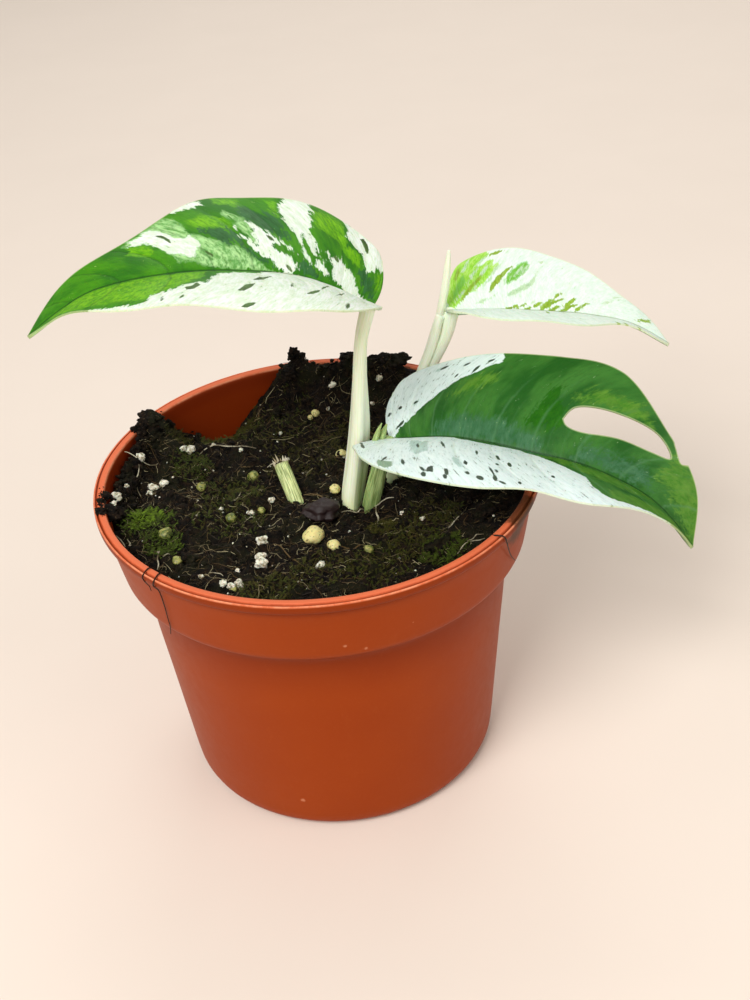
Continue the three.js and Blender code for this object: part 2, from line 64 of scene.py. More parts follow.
# The profile, as radius and height: out along the underside, up the outside and down the inside
POT_RINGS = (
    (14, 0), (14.9, 0.4), (15.5, 2), (36, 2), (36.9, 0.5), (37.5, 0), (40.6, 0), (42.1, 0.35), (43.3, 1),
    (44.1, 1.95), (44.6, 3.2), (44.85, 5), (45.05, 6.8), (46.5, 22), (48, 38), (49.4, 52), (50.5, 65),
    (50.65, 66.4), (51.1, 67.8), (52.4, 69.1), (54.3, 70.7), (55.35, 71.6), (55.75, 72.5), (55.95, 73.6),
    (56.7, 78), (57.5, 83), (58.3, 88), (58.5, 88.6), (59.1, 88.8), (59.6, 89.1), (59.9, 89.6), (60, 90.4),
    (60, 91.3), (59.9, 91.6), (59.72, 91.7), (59.52, 91.6), (59.4, 91.25), (59.2, 91.15), (59, 91.3),
    (58.9, 91.75), (58.7, 91.97), (58.4, 92), (57.8, 92), (57.3, 91.8), (57, 91.2), (56.8, 90.2),
    (56.6, 88.4), (55.6, 81), (54.6, 74.2), (54.1, 72.8), (50.1, 69.5), (49.3, 66.6), (47.2, 42),
    (45.3, 22), (43.7, 7.6), (42.4, 4.4), (40.6, 3.2),
)
POT_STEPS = 176
DRAIN_HOLES = 6
DRAIN_CIRCLE = 27
DRAIN_RADIUS = 4.5
# The heights of the painted shade on the plastic, under the shoulder, under the lip and on the inside
# wall: where the shade begins, is full, fades and ends
SHADE_UNDER_SHOULDER = (50, 68, 69.2, 70.8)
SHADE_UNDER_LIP = (86, 89, 91.2, 91.6)
SHADE_INSIDE_WALL = (73.5, 74.5, 90.5, 91.8)
# Pale scuffs: where each is and its radius
SCUFFS = (
    ((-12, -43.8, 11.3), 0.8), ((4.6, -56.1, 75.6), 0.6), ((9.6, -55.1, 73.5), 0.6),
    ((21.6, -52.4, 78.2), 0.4),
)
# Where wet soil has left a brown smear on the lip
SMEAR = (51.5, -28, 89.5)
# Painted highlights on the lip's two edges and painted shade in its groove: radius, strength and colour
LIP_HIGHLIGHTS_AND_GROOVE_SHADE = ((59.8, 0.5, (246, 176, 136)), (59.1, 0.6, (140, 46, 18)), (57.1, 0.45, (246, 176, 136)))


def select_only(*pieces):
    """Selects these pieces and nothing else, with the first one active."""
    bpy.ops.object.select_all(action="DESELECT")
    for piece in pieces:
        piece.select_set(True)
    if pieces:
        bpy.context.view_layer.objects.active = pieces[0]


def turned(name, rings, steps):
    """A turned body: a circle that is extruded and widened from ring to ring, then closed."""
    select_only()
    radius, height = rings[0]
    bpy.ops.mesh.primitive_circle_add(vertices=steps, radius=radius * MM)
    piece = bpy.context.object
    piece.name = name
    bpy.ops.object.mode_set(mode="EDIT")
    for wider, higher in rings[1:]:
        bpy.ops.mesh.extrude_region_move(TRANSFORM_OT_translate={"value": (0, 0, (higher - height) * MM)})
        wider_by = wider / radius
        bpy.ops.transform.resize(value=(wider_by, wider_by, 1), center_override=(0, 0, higher * MM))
        radius, height = wider, higher
    bpy.ops.mesh.select_all(action="SELECT")
    bpy.ops.mesh.fill_holes(sides=0)
    bpy.ops.mesh.normals_make_consistent(inside=False)
    bpy.ops.object.mode_set(mode="OBJECT")
    return piece


def cut(piece, cutter):
    """Cuts one piece's shape out of another."""
    modifier = piece.modifiers.new("cut", "BOOLEAN")
    modifier.object = cutter
    modifier.solver = "EXACT"
    bpy.context.view_layer.objects.active = piece
    bpy.ops.object.modifier_apply(modifier=modifier.name)
    bpy.data.objects.remove(cutter)


def smooth(piece, angle):
    """Smooth shading, with a crease where faces meet at more than the angle."""
    select_only(piece)
    bpy.ops.object.shade_smooth_by_angle(angle=math.radians(angle))


def on_circle(radius, angle):
    return radius * math.cos(angle), radius * math.sin(angle)


def linear(colour):
    """A colour as it looks on screen, from 0 to 255, as the shader's own numbers. A link stays a link."""
    if isinstance(colour, bpy.types.NodeSocket):
        return colour
    shares = [value / 255 for value in colour]
    return tuple(c / 12.92 if c < 0.04 else ((c + 0.055) / 1.055) ** 2.4 for c in shares) + (1,)


class Finish:
    """A material that is painted coat by coat over a first colour, with patterns from 0 to 1."""

    def __init__(self, name, colour, **sockets):
        self.material = bpy.data.materials.new(name)
        self.material.use_nodes = True
        self.tree = self.material.node_tree
        self.shader = self.tree.nodes["Principled BSDF"]
        self.tone = colour
        for socket, value in sockets.items():
            self.shader.inputs[socket.replace("_", " ").title().replace("Ior", "IOR")].default_value = value

    def put(self, kind, inputs=None, **settings):
        """A shader node with its inputs linked or set."""
        node = self.tree.nodes.new("ShaderNode" + kind)
        for name, value in settings.items():
            setattr(node, name, value)
        for name, value in (inputs or {}).items():
            if isinstance(value, bpy.types.NodeSocket):
                self.tree.links.new(value, node.inputs[name])
            else:
                node.inputs[name].default_value = value
        return node

    def kept(self, name):
        """The number that keep_on left on each point."""
        return self.put("Attribute", attribute_name=name).outputs["Fac"]

    def here(self):
        return self.put("TexCoord").outputs["Object"]

    def stretched(self, scale, where=None):
        where = self.here() if where is None else where
        return self.put("Mapping", {"Vector": where, "Scale": scale}).outputs["Vector"]

    def along(self, axis):
        """How far along an axis a place lies, in millimetres."""
        return self.put("SeparateXYZ", {"Vector": self.stretched((1 / MM,) * 3)}).outputs[axis]

    def away(self, place, scale=(1 / MM,) * 3):
        """How far off a place is, in millimetres."""
        ends = {0: self.stretched(scale), 1: place}
        return self.put("VectorMath", ends, operation="DISTANCE").outputs["Value"]

    def cloud(self, period, detail=3.0, roughness=0.6, distortion=0.0, where=None):
        """Soft noise from 0 to 1, whose lumps are about one period across, in millimetres."""
        where = self.here() if where is None else where
        return self.put("TexNoise", {
            "Vector": where, "Scale": 1 / (period * MM), "Detail": detail, "Roughness": roughness,
            "Distortion": distortion,
        }).outputs["Fac"]

    def maths(self, operation, result, *others):
        """Numbers worked out one after another."""
        for other in others or (0.0,):
            result = self.put("Math", {0: result, 1: other}, operation=operation).outputs[0]
        return result

    def times(self, *factors):
        return self.maths("MULTIPLY", *factors)

    def plus(self, *terms):
        return self.maths("ADD", *terms)

    def band(self, value, low, high):
        """0 below low, 1 above high and a soft step between."""
        steps = {"Value": value, "From Min": low, "From Max": high}
        return self.put("MapRange", steps, interpolation_type="SMOOTHSTEP").outputs["Result"]

    def between(self, value, begins, full, fades, ends):
        """1 from full to fades, with a soft step on both sides."""
        return self.times(self.band(value, begins, full), self.band(value, ends, fades))

    def mixed(self, factor, first, second):
        colours = {0: factor, 6: linear(first), 7: linear(second)}
        return self.put("Mix", colours, data_type="RGBA").outputs[2]

    def paint(self, pattern, colour, strength=1):
        """Lays one more coat over the colour so far, where the pattern says."""
        if strength != 1:
            pattern = self.times(pattern, strength)
        self.tone = self.mixed(pattern, self.tone, colour)

    def dulled(self, pattern, low, high):
        """Roughness that goes from low to high with a pattern."""
        spread = self.put("MapRange", {"Value": pattern, "To Min": low, "To Max": high}).outputs["Result"]
        self.tree.links.new(spread, self.shader.inputs["Roughness"])

    def bumped(self, height, strength, depth):
        made = self.put("Bump", {"Height": height, "Strength": strength, "Distance": depth * MM})
        self.tree.links.new(made.outputs["Normal"], self.shader.inputs["Normal"])

    def dress(self, piece):
        """Gives a piece this finish and no other."""
        self.tree.links.new(self.tone, self.shader.inputs["Base Color"])
        piece.data.materials.clear()
        piece.data.materials.append(self.material)


def fit(piece, nodes, finish):
    """Hands a finished piece over: its finish, the nodes it stands for and its body."""
    finish.dress(piece)
    if nodes:
        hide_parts(*nodes)
    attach(piece, "root")


pot = turned("pot_shell", POT_RINGS, POT_STEPS)
for index in range(DRAIN_HOLES):
    x, y = on_circle(DRAIN_CIRCLE * MM, 2 * math.pi * (index + 0.5) / DRAIN_HOLES)
    select_only()
    bpy.ops.mesh.primitive_cylinder_add(
        vertices=40, radius=DRAIN_RADIUS * MM, depth=12 * MM, location=(x, y, 2 * MM))
    cut(pot, bpy.context.object)
smooth(pot, 38)

terracotta = Finish("terracotta_plastic", (153, 60, 6), roughness=0.42, specular_ior_level=0.1)
height = terracotta.along("Z")
radius = terracotta.away((0, 0, 0), (1 / MM, 1 / MM, 0))
terracotta.paint(terracotta.cloud(26, 2), (143, 52, 3))
terracotta.paint(terracotta.band(terracotta.cloud(0.9, 4), 0.5, 0.8), (178, 84, 30), 0.12)
# Painted shade in a band under the collar's overhang
terracotta.paint(terracotta.between(height, *SHADE_UNDER_SHOULDER), (104, 26, 2), 0.4)
for scuff, size in SCUFFS:
    near = terracotta.plus(terracotta.away(scuff), terracotta.cloud(0.8, 3))
    terracotta.paint(terracotta.band(near, size + 0.6, size), (220, 150, 112), 0.5)
# Painted shade on the lip's faces below its top
terracotta.paint(terracotta.between(height, *SHADE_UNDER_LIP), (112, 34, 2), 0.45)
# Painted light: the upward face of the lip is made lighter
lip = terracotta.band(height, 91.1, 91.7)
terracotta.paint(lip, (228, 116, 76), 0.85)
# Painted highlights on the lip's two edges and painted shade in its groove, broken up by noise
for ring, strength, tint in LIP_HIGHLIGHTS_AND_GROOVE_SHADE:
    near = terracotta.band(terracotta.maths("ABSOLUTE", terracotta.plus(radius, -ring)), 0.35, 0.1)
    patchy = terracotta.band(terracotta.cloud(5, 5, 0.75), 0.36, 0.58)
    terracotta.paint(terracotta.times(near, patchy, lip), tint, strength)
smear = terracotta.plus(terracotta.away(SMEAR), terracotta.times(terracotta.cloud(2, 4, 0.7), 8))
terracotta.paint(terracotta.band(smear, 13.5, 9), (58, 36, 16), 0.85)
# Painted shade on the inside wall of the pot above the soil
wall = terracotta.plus(radius, terracotta.times(height, -0.1333))
inner_shade = terracotta.times(terracotta.band(wall, 45.5, 44.7), terracotta.between(height, *SHADE_INSIDE_WALL))
terracotta.paint(inner_shade, (104, 28, 4), 0.7)
dust = terracotta.cloud(5, 5, 0.7, where=terracotta.stretched((1, 1, 0.35)))
terracotta.paint(terracotta.band(dust, 0.63, 0.8), (172, 90, 40), 0.15)
terracotta.dulled(terracotta.cloud(3, 4), 0.36, 0.52)
terracotta.bumped(terracotta.cloud(0.8, 3), 0.12, 0.05)
fit(pot, ["pot"], terracotta)

# Soil
# Dark peaty potting mix, mounded at the back and sunk at the back left. A fine grid is pressed onto the
# same hills as the solid, roughened with crumbs and pits, and drawn down inside the pot to its floor.

# Hills and hollows: x, y, how high each rises and how far it spreads
SOIL_FORMS = (
    (-29, 46, -10.5, 10), (-49, 29, 10, 8), (-6, 54, 12, 6), (8, 52, 9.5, 11), (25, 48, 10, 12),
    (47, 20, 4, 15), (44, -24, 2.5, 14), (-38, -12, 2.2, 12), (3, -34, 1.6, 12), (-22, 14, -2.2, 9),
    (12, -12, -1.6, 8),
)
SOIL_GRID = 216
SOIL_LEVEL = 81
# The radius of the bed's border, and the one at which the height of its shore is read
SOIL_EDGE = 56
SHORE_RADIUS = 55
# Where the bed begins to settle towards its shore on the wall, as a share of the radius
SHORE = 0.93
# The inside of the pot's collar: the radius and height of its foot, its slope and the height of its top
COLLAR_RADIUS, COLLAR_FOOT, COLLAR_SLOPE, COLLAR_TOP = 54.7, 74, 0.146, 91
# Down the inside of the pot, as height and radius
SOIL_WALL = ((74.3, 54.2), (69.7, 49.7), (66.7, 48.9), (7.7, 43.3), (4.7, 42.1), (3.5, 40.3))


def soil_bed(x, y):
    """The height in millimetres of the soil's broad hills."""
    forms = sum(rise * math.exp(-((x - a) ** 2 + (y - b) ** 2) / spread ** 2)
                for a, b, rise, spread in SOIL_FORMS)
    ripple = 0.55 * math.sin(0.31 * x + 1.3) * math.cos(0.27 * y) + 0.35 * math.sin(0.62 * y - 0.44 * x)
    return SOIL_LEVEL + 4 * (x * x + y * y) / 3600 + forms + ripple


def soil_top(x, y):
    """The height with the crumbs of the surface, which are lower beside the wall."""
    lumps = noise.fractal(Vector((x, y, 3)) * 0.16, 0.7, 2.2, 5) * 1.7
    crumbs = (0.5 - noise.voronoi(Vector((x, y, 0)) * 0.6)[0][0]) * 1.3
    clumps = (0.5 - noise.voronoi(Vector((x, y, 9)) * 0.26)[0][0]) * 1.6
    open_bed = min(1, max(0, (56.5 - math.hypot(x, y)) / 3))
    return soil_bed(x, y) + (lumps + crumbs + clumps) * (0.45 + 0.55 * open_bed)


def wall_radius(z):
    """How far the pot's wall lets the soil reach at a height, a little into the wall."""
    return COLLAR_RADIUS + (min(z, COLLAR_TOP) - COLLAR_FOOT) * COLLAR_SLOPE


select_only()
bpy.ops.mesh.primitive_grid_add(x_subdivisions=SOIL_GRID, y_subdivisions=SOIL_GRID, size=2)
soil = bpy.context.object
soil.name = "soil_bed"
for vertex in soil.data.vertices:
    a, b = vertex.co.x, vertex.co.y
    x, y = a * math.sqrt(1 - b * b / 2), b * math.sqrt(1 - a * a / 2)
    reach = math.hypot(x, y)
    ashore = SHORE_RADIUS / max(reach, 1e-6)
    shore = min(soil_bed(ashore * x, ashore * y), 91.4)
    x, y = x * wall_radius(shore), y * wall_radius(shore)
    z = soil_top(x, y)
    if reach > SHORE:
        z = z + (min(z, shore) - z) * (reach - SHORE) / (1 - SHORE)
    vertex.co = (x * MM, y * MM, z * MM)
bpy.ops.object.mode_set(mode="EDIT")
bpy.ops.mesh.select_all(action="SELECT")
bpy.ops.mesh.region_to_loop()
before = SOIL_EDGE
for level, radius in SOIL_WALL:
    bpy.ops.mesh.extrude_region_move()
    bpy.ops.transform.resize(value=(radius / before, radius / before, 0), center_override=(0, 0, level * MM))
    before = radius
bpy.ops.mesh.edge_face_add()
bpy.ops.mesh.select_all(action="SELECT")
bpy.ops.mesh.normals_make_consistent(inside=False)
bpy.ops.object.mode_set(mode="OBJECT")
smooth(soil, 60)

peat = Finish("damp_peat", (7, 5, 3), roughness=0.8, specular_ior_level=0.15)
peat.paint(peat.band(peat.cloud(1.6, 6, 0.75), 0.42, 0.66), (40, 27, 15))
peat.paint(peat.band(peat.cloud(9, 4, 0.7), 0.48, 0.6), (30, 31, 11), 0.6)
peat.paint(peat.band(peat.cloud(0.7, 3, 0.7), 0.62, 0.72), (92, 76, 52))
peat.dulled(peat.cloud(2, 3), 0.6, 1.0)
peat.bumped(peat.cloud(0.7, 6, 0.8), 1.0, 0.6)
fit(soil, ["soil"], peat)

# Crumbs, bark and spilt soil
# Loose peat crumbs lie all over the bed, with larger clods and one wet piece of bark in the middle. At the
# left they are heaped against the wall, and a little soil was spilt over the rim.

CRUMBS = 5600
CRUMBS_ROUND_CLOD = 22
# How far from the middle crumbs may lie, and those round a clod
CRUMB_REACH = 55.5
CLOD_CRUMB_REACH = 54.6
# Clods: x, y, half width and half height
CLODS = (
    (-7, 50, 3, 1.6), (-5.5, 53, 1.8, 1.8), (19, 48, 3, 1.4), (-47, 28, 3.8, 2), (30, -30, 3, 1.6),
    (42, -22, 3.2, 1.8), (37, 33, 3.4, 1.8), (-34, -26, 2.8, 1.6), (4, 51, 2.2, 1.1), (11, 53, 2.4, 1),
    (26, 49, 2.8, 1.1), (-51, 22, 2.4, 1.5), (-43, 33, 2, 1.4), (12, 48, 1.6, 1), (22, 52, 1.8, 0.9),
    (-12, 44, 1.8, 1.2), (-51.6, 16.5, 3, 3), (-53, 12.6, 2.4, 3.4), (-52.6, 8.4, 3, 3.2),
    (-53.8, 4.4, 2.2, 3), (-53, 0.2, 2.8, 2.6),
)
# The heap at the left: its crumbs, the angles it lies between and the radius where it starts to rise
HEAP_CRUMBS = 520
HEAP_FROM, HEAP_TO = 150, 192
HEAP_FOOT = 50.5
# Spilt lumps: angle, radius, height, half width and half height
SPILT = (
    (149, 55.4, 91.4, 3.2, 2), (152, 57.6, 91.9, 1.6, 1.1), (146, 57.2, 91.8, 1.4, 0.9),
    (192, 55.8, 90.2, 3, 1.5), (193, 58.2, 91.9, 1.6, 0.9), (188, 57.8, 91.9, 1.2, 0.7),
    (185, 56.6, 91.4, 1.6, 1),
)
SPILT_CRUMBS = 12
# The top of the pot's lip: its height and the radii between which it is flat
RIM_TOP = 92
RIM_FROM, RIM_TO = 57.2, 58.8
BARK = (0.2, -7.1)


def rough_ball(detail, seed, roughness, period, octaves=3):
    """The points and faces of a lump one unit in radius: a round primitive that is drawn in and out as far
    as its roughness says, in bumps about one period across."""
    select_only()
    bpy.ops.mesh.primitive_ico_sphere_add(subdivisions=detail, radius=1)
    ball = bpy.context.object
    points = []
    for vertex in ball.data.vertices:
        out = vertex.co.normalized()
        push = noise.fractal(out / period + Vector((seed * 7.3, 0, 0)), 0.8, 2, octaves)
        points.append(out * (1 + roughness * push))
    faces = [tuple(face.vertices) for face in ball.data.polygons]
    bpy.data.objects.remove(ball)
    return np.array(points), np.array(faces)


def new_piece(name, points, faces):
    """An object at the origin from points in millimetres."""
    mesh = bpy.data.meshes.new(name)
    mesh.from_pydata((np.asarray(points) * MM).tolist(), [], [tuple(int(i) for i in face) for face in faces])
    piece = bpy.data.objects.new(name, mesh)
    bpy.context.collection.objects.link(piece)
    return piece


# Every random number comes from here, in the order of the sections.
draw = random.Random(11)


def turned_at_random(axis, most=None):
    """A turn about an axis: all the way round, or at most this far to either side."""
    low, high = (0, 2 * math.pi) if most is None else (-most, most)
    return Matrix.Rotation(draw.uniform(low, high), 3, axis)


def scatter(name, shapes, places):
    """Copies of the shapes in one piece. A place is x, y, z and the half sizes along, across and up."""
    points, faces, count = [], [], 0
    for place in places:
        shape, skin = shapes[draw.randrange(len(shapes))]
        turn = turned_at_random("Z") @ turned_at_random("X", 0.5)
        own = turned_at_random("Z")
        placed = shape @ np.array(own).T * np.array(place[3:6]) @ np.array(turn).T
        points.append(placed + np.array(place[:3]))
        faces.append(skin + count)
        count += len(shape)
    return new_piece(name, np.concatenate(points), np.concatenate(faces))


def anywhere(reach):
    """A random spot on the bed, no further than this from the middle."""
    angle, radius = draw.uniform(0, 2 * math.pi), reach * math.sqrt(draw.random())
    return on_circle(radius, angle)


def bank(x, y):
    """How high the loose soil is heaped against the wall at the left."""
    azimuth = math.degrees(math.atan2(y, x)) % 360
    full = max(0, min(1, (azimuth - HEAP_FROM) / 6, (HEAP_TO - azimuth) / 8))
    return max(0, math.hypot(x, y) - HEAP_FOOT) * full


crumb_shapes = [rough_ball(1, seed, 0.55, 0.8) for seed in range(6)]
places = []
while len(places) < CRUMBS:
    x, y = anywhere(CRUMB_REACH)
    size = 0.25 + 0.95 * draw.random() ** 4
    across, up = size * draw.uniform(0.4, 0.8), size * draw.uniform(0.35, 0.7)
    places.append((x, y, soil_top(x, y) + 0.2 * size, size, across, up))
for x, y, half, _ in CLODS:
    for _ in range(CRUMBS_ROUND_CLOD):
        at = x + draw.gauss(0, half), y + draw.gauss(0, half)
        if math.hypot(*at) < CLOD_CRUMB_REACH:
            size = draw.uniform(0.3, 0.9)
            places.append((*at, soil_top(*at) + 0.3 * size, size, 0.8 * size, 0.6 * size))
for _ in range(HEAP_CRUMBS):
    angle, up = math.radians(draw.uniform(HEAP_FROM, HEAP_TO)), draw.random()
    x, y = on_circle(HEAP_FOOT + 5 * up, angle)
    size = draw.uniform(0.35, 1)
    places.append((x, y, soil_top(x, y) + bank(x, y) * draw.random() ** 0.5, size, 0.8 * size, 0.7 * size))
for azimuth, *_ in SPILT:
    for _ in range(SPILT_CRUMBS):
        angle, radius = math.radians(azimuth + draw.gauss(0, 1.8)), draw.uniform(RIM_FROM, RIM_TO)
        size = draw.uniform(0.15, 0.5)
        places.append((*on_circle(radius, angle), RIM_TOP + 0.3 * size, size, 0.8 * size, 0.6 * size))
crumbs = scatter("peat_crumbs", crumb_shapes, places)
smooth(crumbs, 50)
fit(crumbs, [], peat)

clod_shapes = [rough_ball(4, seed, 0.6, 0.7, 6) for seed in range(20, 26)]
places = [(x, y, soil_bed(x, y) + 0.4, half, 0.8 * half, up) for x, y, half, up in CLODS]
places += [(*on_circle(radius, math.radians(azimuth)), z, half, 0.8 * half, up)
           for azimuth, radius, z, half, up in SPILT]
clods = scatter("peat_clods", clod_shapes, places)
smooth(clods, 40)
fit(clods, [], peat)

bark = scatter("bark_piece", [rough_ball(4, 31, 0.35, 0.9)], [(*BARK, soil_bed(*BARK) + 0.9, 5, 4.1, 2.9)])
smooth(bark, 60)
wet_bark = Finish("wet_bark", (16, 9, 8), roughness=0.5, specular_ior_level=0.4)
fibres = wet_bark.stretched((1, 3, 1))
wet_bark.paint(wet_bark.cloud(1.4, 5, 0.7, where=fibres), (48, 28, 26))
wet_bark.bumped(wet_bark.cloud(0.8, 5, where=fibres), 0.6, 0.3)
fit(bark, [], wet_bark)

# Perlite and fertiliser
# White puffed perlite crumbs and yellow-green resin-coated fertiliser prills, pressed into the peat, with
# fine perlite grit between them.

# Perlite crumbs: x, y and half width
PERLITE = (
    (-36.9, 25.4, 2.1), (-38.6, 24.6, 1.2), (-49.7, 17.3, 1.9), (-46.3, 9.3, 1.8), (-47.2, 7.4, 1.4),
    (-43.5, 11.7, 1.6), (-54.3, -3, 1.9), (-54.8, -6.4, 1.4), (-13.2, 0.1, 1.2), (-19, -3.7, 1.3),
    (-15.4, -19.5, 1.9), (-15.5, -26.9, 2), (-15.4, -30.2, 2), (-21.5, -30.3, 1.4), (-21, -37.8, 1.9),
    (-24.7, -38.3, 1.6), (-22.6, -40.2, 1.3), (-0.3, -32.3, 1.6), (5.2, 44.8, 1.5), (19.2, 43.1, 1.4),
    (-30.5, 29.5, 0.9), (-22.4, 26, 0.9), (-8.7, 18.3, 0.7), (-27, -2, 0.8), (-30.4, -34, 1.1),
    (-11, 33, 0.8), (16.5, 38, 0.9), (22, -9, 0.9), (27, -17, 0.9), (14, 22, 0.7), (-52.7, 5.5, 0.9),
    (3.3, 41, 0.8),
)
GRIT = 150
# How far from the middle small things may lie
BED_REACH = 54
# Prills: x, y, half width and how far each is lifted out of the peat
PRILLS = (
    (-1.8, -20.9, 3.1, 1.7), (3.4, -26.2, 1.9, 0.9), (12.1, -28.8, 1.5, 0.8), (4.2, 2.8, 1.7, 1),
    (6.4, 20, 1.8, 0.7), (-18.9, 15.7, 1.8, 0.8), (-0.5, 39.6, 1.4, 0.8), (-2, 38.7, 1, 0.7),
    (-32.8, 8.1, 1.6, 0.7), (-24, -7.6, 1.6, 0.6), (-40.3, -16.9, 2.1, 0.6), (-36.9, -27.3, 1.5, 0.7),
    (-16, -3.9, 1.2, 0.6), (-22, -40.6, 1.2, 0.6),
)

pebble_shapes = [rough_ball(3, seed, 0.5, 0.9) for seed in range(40, 45)]
pebbles = [(x, y, soil_top(x, y) + bank(x, y) + 0.3 * half, 0.82 * half, 0.66 * half, 0.6 * half)
           for x, y, half in PERLITE]
grains = []
for _ in range(GRIT):
    x, y = anywhere(BED_REACH)
    half = draw.uniform(0.16, 0.42)
    grains.append((x, y, soil_top(x, y) + 0.4 * half, half, 0.8 * half, 0.7 * half))
fine_shapes = [rough_ball(1, seed, 0.4, 0.9) for seed in range(50, 53)]
puffed = Finish(
    "puffed_perlite", (128, 116, 84), roughness=0.85, subsurface_weight=0.15, subsurface_scale=0.001)
puffed.paint(puffed.band(puffed.cloud(0.9, 4, 0.7), 0.35, 0.6), (240, 236, 216))
puffed.bumped(puffed.cloud(0.6, 4, 0.7), 0.7, 0.3)
for name, shapes, places in (
        ("perlite_crumbs", pebble_shapes, pebbles), ("perlite_grit", fine_shapes, grains)):
    piece = scatter(name, shapes, places)
    smooth(piece, 60)
    fit(piece, [], puffed)

round_shapes = [rough_ball(4, seed, 0.16, 1.1) for seed in range(60, 63)]
places = [(x, y, soil_bed(x, y) + lift, 0.92 * half, 0.86 * half, 0.74 * half) for x, y, half, lift in PRILLS]
prills = scatter("fertiliser_prills", round_shapes, places)
smooth(prills, 60)
resin = Finish("coated_prill", (78, 92, 28), roughness=0.45, subsurface_weight=0.2, subsurface_scale=0.001)
resin.paint(resin.band(resin.cloud(1.2, 3), 0.4, 0.6), (160, 158, 84))
resin.paint(resin.band(resin.maths("ABSOLUTE", resin.along("X")), 14, 5), (222, 210, 140))
pits = resin.cloud(0.75, 3, 0.7)
resin.paint(resin.band(pits, 0.54, 0.64), (60, 52, 20), 0.75)
resin.bumped(pits, 0.5, -0.25)
fit(prills, [], resin)

# Roots and straw
# Thin pale root strands and straw-coloured fibres lie over the soil, and a few dark root hairs hang over
# the rim at the front.

# Each strand: its path over the bed, as x and y, and its width
STRAWS = (
    (((-34.3, 24.5), (-29.5, 28), (-23.8, 26.7), (-17.8, 26.7)), 0.32),
    (((-53.5, 16.5), (-50.2, 16.8), (-45.2, 18.3)), 0.26),
    (((-50.1, 15.5), (-50.7, 10.6), (-49.5, 5.5)), 0.3),
    (((-19.9, -8), (-18.6, -5.9), (-16.7, -9.8), (-15.5, -12.7)), 0.24), (((-29, -34), (-24.7, -36)), 0.2),
    (((-53.4, -15.6), (-51, -19)), 0.3), (((-50.5, -16.7), (-49.2, -21.1)), 0.34),
    (((-41.5, -24.7), (-41.8, -30.5)), 0.32), (((-39, -23.9), (-39.1, -26.3), (-40.1, -27.2)), 0.22),
    (((-23.7, 0.1), (-21.9, 4.2)), 0.26), (((14.6, -5.8), (19.9, -4.8)), 0.24),
    (((14.8, -6), (15.3, -8.9), (14.9, -11.4)), 0.42),
    (((32.8, -24.4), (35.3, -23.7), (37.2, -17.9)), 0.26), (((37.2, -30.5), (41.6, -29.5)), 0.26),
    (((34.2, -35.6), (37.5, -32), (41.8, -30.9)), 0.3), (((5.7, -6.8), (9.8, -4.6), (11.6, -5.2)), 0.26),
)
DARK_ROOTS = (
    (((-12.5, -21.2), (-8.5, -26.4), (-4.6, -34.4)), 0.2), (((4.1, -27.3), (10.5, -24.5)), 0.22),
    (((-7.4, 2.5), (-1.3, 0.1), (3.6, -1.5)), 0.2), (((-19.5, 44.6), (-16.8, 48.5)), 0.22),
)
LYING_HAIRS = 4000
# Short hairs that stand up from the mounds: how many, and the angles and radii they stand between
STANDING_HAIRS = 260
STANDING_FROM, STANDING_TO = 95, 235
STANDING_NEAR, STANDING_FAR = 48, 53.4
# Root hairs over the rim, as x, y and z
RIM_HAIRS = (
    ((-37.5, -40.2, 89.4), (-38.6, -42.4, 92.3), (-39.8, -44.2, 92.2), (-40.6, -45, 90.6),
     (-39.8, -43.4, 87.5), (-39.4, -42.4, 82), (-39.4, -41.2, 76.8), (-39.4, -40.2, 73.4),
     (-39.8, -39.4, 70.4)),
    ((-40, -38.2, 89.6), (-41.4, -39.9, 92.3), (-42.8, -41.6, 92.1), (-43.4, -42, 90.6),
     (-42.5, -40.7, 87.3), (-42.3, -40.4, 85.4)),
    ((42.2, -37.5, 91.3), (44.3, -39.2, 92.3), (45.9, -39.2, 91.6), (46.5, -38.3, 89.2), (47, -36.4, 86.2),
     (47.6, -34, 83), (48.5, -31, 79.2), (49.9, -27.2, 75)),
)


def tube_points(path, widths, sides):
    """Rings of points round a path, in the millimetres of its points, narrowing as the widths say."""
    path = np.asarray(path, float)
    heading = np.gradient(path, axis=0)
    heading /= np.linalg.norm(heading, axis=1, keepdims=True) + 1e-9
    helper = np.where(np.abs(heading[:, 2:3]) > 0.9, np.array([[1.0, 0, 0]]), np.array([[0, 0, 1.0]]))
    across = np.cross(heading, helper)
    across /= np.linalg.norm(across, axis=1, keepdims=True) + 1e-9
    level = np.cross(across, heading)
    turn = np.arange(sides) / sides * 2 * math.pi
    ring = across[:, None] * np.cos(turn)[None, :, None] + level[:, None] * np.sin(turn)[None, :, None]
    return (path[:, None] + ring * np.asarray(widths)[:, None, None]).reshape(-1, 3)


def tube_faces(rings, sides):
    """The walls and the two ends of such a tube."""
    faces = []
    for ring in range(rings - 1):
        for side in range(sides):
            a, b = ring * sides + side, ring * sides + (side + 1) % sides
            faces.append((a, b, b + sides, a + sides))
    faces.append(tuple(range(sides - 1, -1, -1)))
    faces.append(tuple(range((rings - 1) * sides, rings * sides)))
    return faces


def keep_on(piece, name, values):
    """Keeps a number for each point of a piece, for its finish."""
    layer = piece.data.attributes.new(name, "FLOAT", "POINT")
    layer.data.foreach_set("value", np.asarray(values, np.float32))


def strand_piece(name, strands, sides):
    """Many strands in one piece. A strand is its path, its width at each point and its shade."""
    points, faces, shades, count = [], [], [], 0
    for path, widths, shade in strands:
        points.append(tube_points(path, widths, sides))
        faces += [tuple(i + count for i in face) for face in tube_faces(len(path), sides)]
        shades += [shade] * (len(path) * sides)
        count += len(path) * sides
    piece = new_piece(name, np.concatenate(points), faces)
    keep_on(piece, "shade", shades)
    return piece


